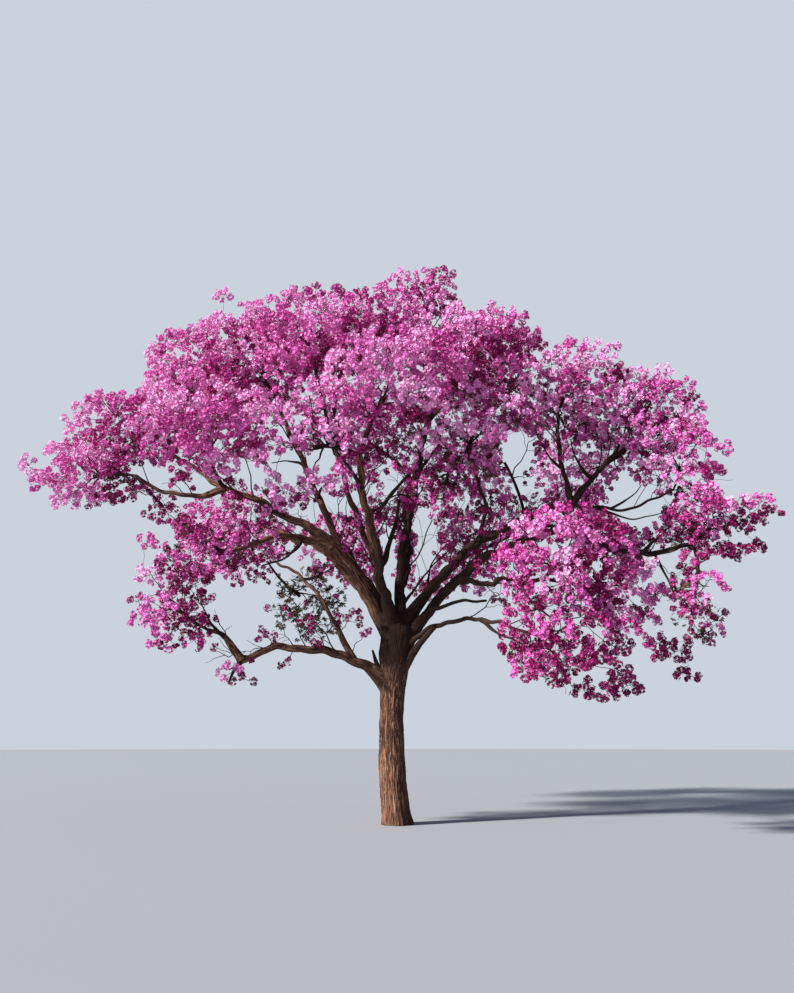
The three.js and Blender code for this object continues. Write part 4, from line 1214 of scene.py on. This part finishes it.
# %% [markdown]
# The twigs are the same idea with a thin three-sided profile: from any distance at which a whole twig shows,
# three sides look round. The stems and the thinner branches get ten. The stems, the twigs and the shoots are
# the splines of three curve objects.
# %% Twigs by Geometry Nodes
tree, given = new_tree("twig skin", {"Sides": "NodeSocketInt", "Material": "NodeSocketMaterial"})
twig_tree = tree
girth = add(tree, "GeometryNodeInputRadius", out=0)
circle = add(tree, "GeometryNodeCurvePrimitiveCircle", {}, {"Resolution": given["Sides"], "Radius": 1.0}, 0)
drawn_along = {"Curve": given["Geometry"], "Profile Curve": circle, "Scale": girth, "Fill Caps": True}
skin = add(tree, "GeometryNodeCurveToMesh", {}, drawn_along, 0)
position = add(tree, "GeometryNodeInputPosition", out=0)
skin = add(tree, STORE, PLACE_ON_POINTS, {"Geometry": skin, "Name": "limb_place", "Value": position}, 0)
finish_tree(tree, skin, given["Material"])

BRANCH_STEP = 80 * MM
STEM_SIDES, TWIG_SIDES = 10, 3
branch_lines = [limb_line(limbs[name], BRANCH_STEP, limbs[name].reach) for name in BRANCHES]
stem_lines = [wood.lines[0] for wood in woods[:len(names)]] + branch_lines
twig_lines = [line for wood in woods[:len(names)] for line in wood.lines[1:]]
shoot_lines = [line for wood in woods[len(names):] for line in wood.lines]
stems_piece, twigs_piece, shoots_piece = (
    run_tree(name, line_object(name, lines), twig_tree, {"Sides": sides, "Material": twig_bark})
    for name, lines, sides in (
        ("stems", stem_lines, STEM_SIDES),
        ("twigs", twig_lines, TWIG_SIDES),
        ("shoots", shoot_lines, TWIG_SIDES),
    )
)
print("triangles:", {piece.name: triangles(piece) for piece in (stems_piece, twigs_piece, shoots_piece)})

# %% [markdown]
# The flower of a trumpet tree is a funnel some 6 to 8 cm across with five broad ruffled lobes. Seen from
# outside the crown only the open mouth counts, so a flower is five faces round a sunken throat. Its one
# texture coordinate runs from the throat to the rims.
# %% The flower
FLOWER_RADIUS = 42 * MM
PETAL_LOBES = 5
THROAT = 17 * MM  # how deep the middle lies below the rims
LOBE_HALF_ANGLE = math.radians(31)
RUFFLE = 7 * MM


def flower_mesh():
    points, faces, out = [(0, 0, -THROAT)], [], []
    for lobe in range(PETAL_LOBES):
        middle = 2 * math.pi * lobe / PETAL_LOBES
        for side in (-1, 1):
            turn = middle + side * LOBE_HALF_ANGLE
            points.append((FLOWER_RADIUS * math.cos(turn), FLOWER_RADIUS * math.sin(turn), side * RUFFLE))
        faces.append((0, len(points) - 2, len(points) - 1))
        out += [0.0, 1.0, 1.0]
    mesh = mesh_of("flower", points, faces)
    layer = mesh.uv_layers.new(name="throat_to_rim")
    layer.data.foreach_set("uv", np.column_stack([out, np.full(len(out), 0.5)]).ravel())
    return mesh


flower = put_in_scene("flower", flower_mesh())
print("a flower:", len(flower.data.polygons), "faces")

# %% [markdown]
# Petals are thin and velvety, with a dull sheen and no gloss. On this tree they are rose to magenta, palest
# at the throat. Each tint is a material of its own, and a spray gets one tint by its tone. The five tints
# run from pale rose to deep magenta; the spread is partly the flowers' own and partly painted light and
# shade: the light sprays lie to the sunny top and front, and the deep ones lie within and below.
# %% Petal materials
# Pale tints stand partly for painted light and deep ones partly for painted shade.
TINTS = {
    "petals_deep": ("#8d1459", "#a83a80"),
    "petals_magenta": ("#b93389", "#cd5ea9"),
    "petals_rose": ("#dc5fb6", "#e88bcd"),
    "petals_pink": ("#ef86d0", "#f6aae1"),
    "petals_pale": ("#fca9e3", "#fccbf0"),
}
THROAT_TO_RIM = {"From Min": 0.1, "From Max": 0.75}
# Patches of two or three flowers, 15 to 20 cm wide, are older or newer than their neighbours.
PATCHES = {"Scale": 7.0, "Detail": 3.0}
PATCH_LIGHT = {"From Min": 0.3, "From Max": 0.7, "To Min": 0.72, "To Max": 1.16}


def petal_material(name, rim, throat):
    material, tree = new_material(name)
    uv = add(tree, "ShaderNodeUVMap", {"uv_map": "throat_to_rim"}, out=0)
    out = add(tree, "ShaderNodeSeparateXYZ", {}, {0: uv}, 0)
    place = add(tree, "ShaderNodeTexCoord", out="Object")
    patch = add(tree, NOISE, {}, {"Vector": place, **PATCHES}, "Fac")
    reach = add(tree, RANGE, {}, {"Value": out, **THROAT_TO_RIM}, 0)
    petal = add(tree, MIX, BLEND, {"Factor": reach, FIRST: linear(throat), SECOND: linear(rim)}, MIXED)
    bright = add(tree, RANGE, {}, {"Value": patch, **PATCH_LIGHT}, 0)
    colour = add(tree, "ShaderNodeHueSaturation", {}, {"Color": petal, "Value": bright}, 0)
    finish_material(tree, {"Base Color": colour, "Roughness": 0.7, "Specular IOR Level": 0.12})
    return material


petals = {name: petal_material(name, *pair) for name, pair in TINTS.items()}
print("petal tints:", list(petals))

# %% [markdown]
# A tuft is a ball of a dozen flowers. The tree puts a ball of twelve corners at every tuft and seats a
# flower on each corner, facing outwards, turned by chance and shifted a little. The seed is fixed, so the
# crown is the same on every run.
# %% Tufts by Geometry Nodes
BALL_RADIUS = 66 * MM
TUFT_SIZES = {0: (0.6, 0.6, 0.5), 1: (1.45, 1.45, 1.15)}
FLOWER_SIZES = {2: 0.72, 3: 1.18}
FLOWER_JITTER = 24 * MM
FLOWER_SEED = 11
RANDOM, VECTOR, NUMBER = "FunctionNodeRandomValue", {"data_type": "FLOAT_VECTOR"}, {"data_type": "FLOAT"}
tree, given = new_tree("tufts of flowers", {
    "Flower": "NodeSocketObject",
    "Ball radius": "NodeSocketFloat",
    "Jitter": "NodeSocketFloat",
    "Seed": "NodeSocketInt",
    "Material": "NodeSocketMaterial",
})
tuft_tree, seed, jitter = tree, {"Seed": given["Seed"]}, given["Jitter"]
ball = add(tree, "GeometryNodeMeshIcoSphere", {}, {"Radius": given["Ball radius"], "Subdivisions": 1}, 0)
turn = add(tree, RANDOM, VECTOR, {0: (0, 0, 0), 1: (2 * math.pi,) * 3, **seed}, 0)
size = add(tree, RANDOM, VECTOR, {**TUFT_SIZES, **seed}, 0)
each_ball = {"Points": given["Geometry"], "Instance": ball, "Rotation": turn, "Scale": size}
balls = add(tree, "GeometryNodeInstanceOnPoints", {}, each_ball, 0)
balls = add(tree, "GeometryNodeRealizeInstances", {}, {"Geometry": balls}, 0)
back = add(tree, MATH, TIMES, {0: jitter, 1: -1.0}, 0)
least = add(tree, "ShaderNodeCombineXYZ", {}, {0: back, 1: back, 2: back}, 0)
most = add(tree, "ShaderNodeCombineXYZ", {}, {0: jitter, 1: jitter, 2: jitter}, 0)
shift = add(tree, RANDOM, VECTOR, {0: least, 1: most, **seed}, 0)
normal = add(tree, "GeometryNodeInputNormal", out=0)
facing = add(tree, "FunctionNodeAlignRotationToVector", {"axis": "Z"}, {"Vector": normal}, 0)
spin = add(tree, RANDOM, NUMBER, {2: 0.0, 3: 2 * math.pi, **seed}, 1)
about_z = add(tree, "ShaderNodeCombineXYZ", {}, {2: spin}, 0)
its_own_way = {"rotation_space": "LOCAL"}
tipped = add(tree, "FunctionNodeRotateRotation", its_own_way, {"Rotation": facing, "Rotate By": about_z}, 0)
grows = add(tree, RANDOM, NUMBER, {**FLOWER_SIZES, **seed}, 1)
bloom = add(tree, "GeometryNodeObjectInfo", {}, {"Object": given["Flower"]}, "Geometry")
each_flower = {"Points": balls, "Instance": bloom, "Rotation": tipped, "Scale": grows}
blooms = add(tree, "GeometryNodeInstanceOnPoints", {}, each_flower, 0)
shifted = {"Instances": blooms, "Translation": shift, "Local Space": False}
blooms = add(tree, "GeometryNodeTranslateInstances", {}, shifted, 0)
finish_tree(tree, blooms, given["Material"])

# The tufts are dealt to the tints in five equal shares by tone, so the deep tints go where shade is painted
# and the pale ones where light is.
rank = tuft_tone.argsort(kind="stable").argsort(kind="stable")
tint_of = rank * len(TINTS) // len(rank)
blossom_pieces = []
for tint, (name, material) in enumerate(petals.items()):
    values = {
        "Flower": flower,
        "Ball radius": BALL_RADIUS,
        "Jitter": FLOWER_JITTER,
        "Seed": FLOWER_SEED + tint,
        "Material": material,
    }
    points = bpy.data.objects.new(name, mesh_of(name, tuft_at[tint_of == tint]))
    piece = run_tree(name.replace("petals", "blossom"), points, tuft_tree, values)
    blossom_pieces.append(piece)
    print(piece.name, triangles(piece), "triangles")
bpy.data.objects.remove(flower)

# %% [markdown]
# Some of last season's leaves still hang low in the middle of the crown: five leaflets spread like a hand on
# one stalk, dry and olive brown. Some hang together where a head of flowers would be.
# %% The leaf and its material
LEAFLETS = 5
LEAFLET = 105 * MM
LEAFLET_WIDTH = 0.36  # as a share of its length
LEAFLET_TURN = 38  # degrees from one to the next
LEAFLET_DROOP = -0.25
OUTER_SHORTER = 0.12  # how much shorter each leaflet is than the next one inwards
LEAFLET_FOOT, LEAFLET_WIDEST = 0.06, 0.55  # where it starts and is widest, as shares of its length
LEAF_PATCHES = {"Scale": 5.0, "Detail": 2.0}
DRY_EDGE = {"From Min": 0.38, "From Max": 0.62}


def leaf_mesh():
    points, faces = [], []
    for leaflet in range(LEAFLETS):
        from_middle = leaflet - LEAFLETS // 2
        turn = math.radians(LEAFLET_TURN * from_middle)
        long = LEAFLET * (1 - OUTER_SHORTER * abs(from_middle))
        way = long * np.array([math.sin(turn), math.cos(turn), LEAFLET_DROOP])
        side = long * np.array([math.cos(turn), -math.sin(turn), 0]) * LEAFLET_WIDTH / 2
        first, widest = len(points), LEAFLET_WIDEST * way
        points += [LEAFLET_FOOT * way, widest + side, way, widest - side]
        faces.append((first, first + 3, first + 2, first + 1))
    return mesh_of("leaf", points, faces)


old_leaf, tree = new_material("old_leaf")
position = add(tree, "ShaderNodeTexCoord", out="Object")
patch = add(tree, NOISE, {}, {"Vector": position, **LEAF_PATCHES}, "Fac")
dry_patch_and_lit_side = add(tree, RANGE, SMOOTH, {"Value": patch, **DRY_EDGE}, 0)
colour = add(tree, MIX, BLEND, {"Factor": dry_patch_and_lit_side, FIRST: linear("#34371f"), SECOND: linear("#57452c")}, MIXED)
finish_material(tree, {"Base Color": colour, "Roughness": 0.75, "Specular IOR Level": 0.15})
leaf = put_in_scene("leaf", leaf_mesh())
print("a leaf:", len(leaf.data.polygons), "leaflets")

# %% [markdown]
# A bunch of leaves is scattered round each of its places, every leaf with a turn and a droop of its own. The
# tree is the short form of the one for flowers: one leaf on every point.
# %% Leaves by Geometry Nodes
LEAVES_TOGETHER = 9
LEAF_SPREAD = 150 * MM
LEAF_SIZES = {2: 0.7, 3: 1.25}
LEAF_TILT, LEAF_ROLL = 0.9, 0.2  # radians
LEAF_TURN_SEED, LEAF_SPREAD_SEED = 5, 31
tree, given = new_tree("leaves", {
    "Leaf": "NodeSocketObject",
    "Tilt": "NodeSocketFloat",
    "Seed": "NodeSocketInt",
    "Material": "NodeSocketMaterial",
})
tilt, seed = given["Tilt"], {"Seed": given["Seed"]}
droop = add(tree, MATH, TIMES, {0: tilt, 1: -1.0}, 0)
least = add(tree, "ShaderNodeCombineXYZ", {}, {0: droop, 1: droop, 2: 0.0}, 0)
most = add(tree, "ShaderNodeCombineXYZ", {}, {0: LEAF_ROLL, 1: tilt, 2: 2 * math.pi}, 0)
way = add(tree, RANDOM, VECTOR, {0: least, 1: most, **seed}, 0)
grows = add(tree, RANDOM, NUMBER, {**LEAF_SIZES, **seed}, 1)
model = add(tree, "GeometryNodeObjectInfo", {}, {"Object": given["Leaf"]}, "Geometry")
each_leaf = {"Points": given["Geometry"], "Instance": model, "Rotation": way, "Scale": grows}
leaves = add(tree, "GeometryNodeInstanceOnPoints", {}, each_leaf, 0)
finish_tree(tree, leaves, given["Material"])
spread = 2 * Draws(LEAF_SPREAD_SEED).take(3 * len(leaf_at) * LEAVES_TOGETHER).reshape(-1, 3) - 1
leaf_points = np.repeat(leaf_at, LEAVES_TOGETHER, axis=0) + LEAF_SPREAD * spread
leaf_values = {"Leaf": leaf, "Tilt": LEAF_TILT, "Seed": LEAF_TURN_SEED, "Material": old_leaf}
leaf_places = bpy.data.objects.new("old_leaves", mesh_of("old_leaves", leaf_points))
leaves_piece = run_tree("old_leaves", leaf_places, tree, leaf_values)
bpy.data.objects.remove(leaf)
print("leaves:", triangles(leaves_piece), "triangles")

# %% [markdown]
# Every piece rides on the one body and stands for the solids that it takes the place of, which are hidden.
# %% Pieces and the solids they stand for
wood_nodes = ["trunk"] + [f"bough_{name}" for name in BOUGHS]
mass_nodes = [f"mass_{name}" for name in MASSES]
for piece, slot, nodes in (
    (wood_piece, "bark", wood_nodes),
    (stems_piece, "bark", mass_nodes),
    (twigs_piece, "bark", mass_nodes),
    (shoots_piece, "bark", mass_nodes),
    *((piece, "blossom", mass_nodes) for piece in blossom_pieces),
):
    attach(piece, "root")
    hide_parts(*nodes)
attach(leaves_piece, "root")
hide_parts(*(f"mass_{name}" for name in LEAFY))

# %% [markdown]
# A plain pale floor, and light as in a studio: one soft key from the upper left and the front, and an even
# pale surround that fills the shade.
# %% Floor and light
FLOOR_RADIUS = 150
FLOOR_SIDES = 96
ring = np.linspace(0, 2 * math.pi, FLOOR_SIDES + 1)[:-1]
corners = [(FLOOR_RADIUS * math.cos(a), FLOOR_RADIUS * math.sin(a), 0) for a in ring]
floor = put_in_scene("floor", mesh_of("floor", corners, [tuple(range(FLOOR_SIDES))]))
paper, tree = new_material("studio_paper")
finish_material(tree, {"Base Color": linear("#a2a6ab"), "Roughness": 0.95})
floor.data.materials.append(paper)

KEY_STRENGTH = 7.8
KEY_WIDTH = 4  # degrees; the wider, the softer its shadows
KEY_COLOUR = (1.0, 0.965, 0.92)
FILL_STRENGTH = 0.3
SURROUND_SEEN = 0.8
key = put_in_scene("key", bpy.data.lights.new("key", "SUN"))
key.data.energy = KEY_STRENGTH
key.data.angle = math.radians(KEY_WIDTH)
key.data.color = KEY_COLOUR
key.rotation_euler = Vector(SUN_FROM).to_track_quat("Z", "Y").to_euler()
world = bpy.data.worlds.new("surround")
world.use_nodes = True
sky = world.node_tree
seen = add(sky, "ShaderNodeLightPath", out="Is Camera Ray")
strength = add(sky, RANGE, {}, {"Value": seen, "To Min": FILL_STRENGTH, "To Max": SURROUND_SEEN}, 0)
tone = add(sky, MIX, BLEND, {"Factor": seen, FIRST: linear("#cdd8ff"), SECOND: linear("#dfe8f4")}, MIXED)
sky.links.new(tone, sky.nodes["Background"].inputs["Color"])
sky.links.new(strength, sky.nodes["Background"].inputs["Strength"])
bpy.context.scene.world = world
bpy.context.scene.view_settings.view_transform = "Standard"
print("key", KEY_STRENGTH, "fill", FILL_STRENGTH)
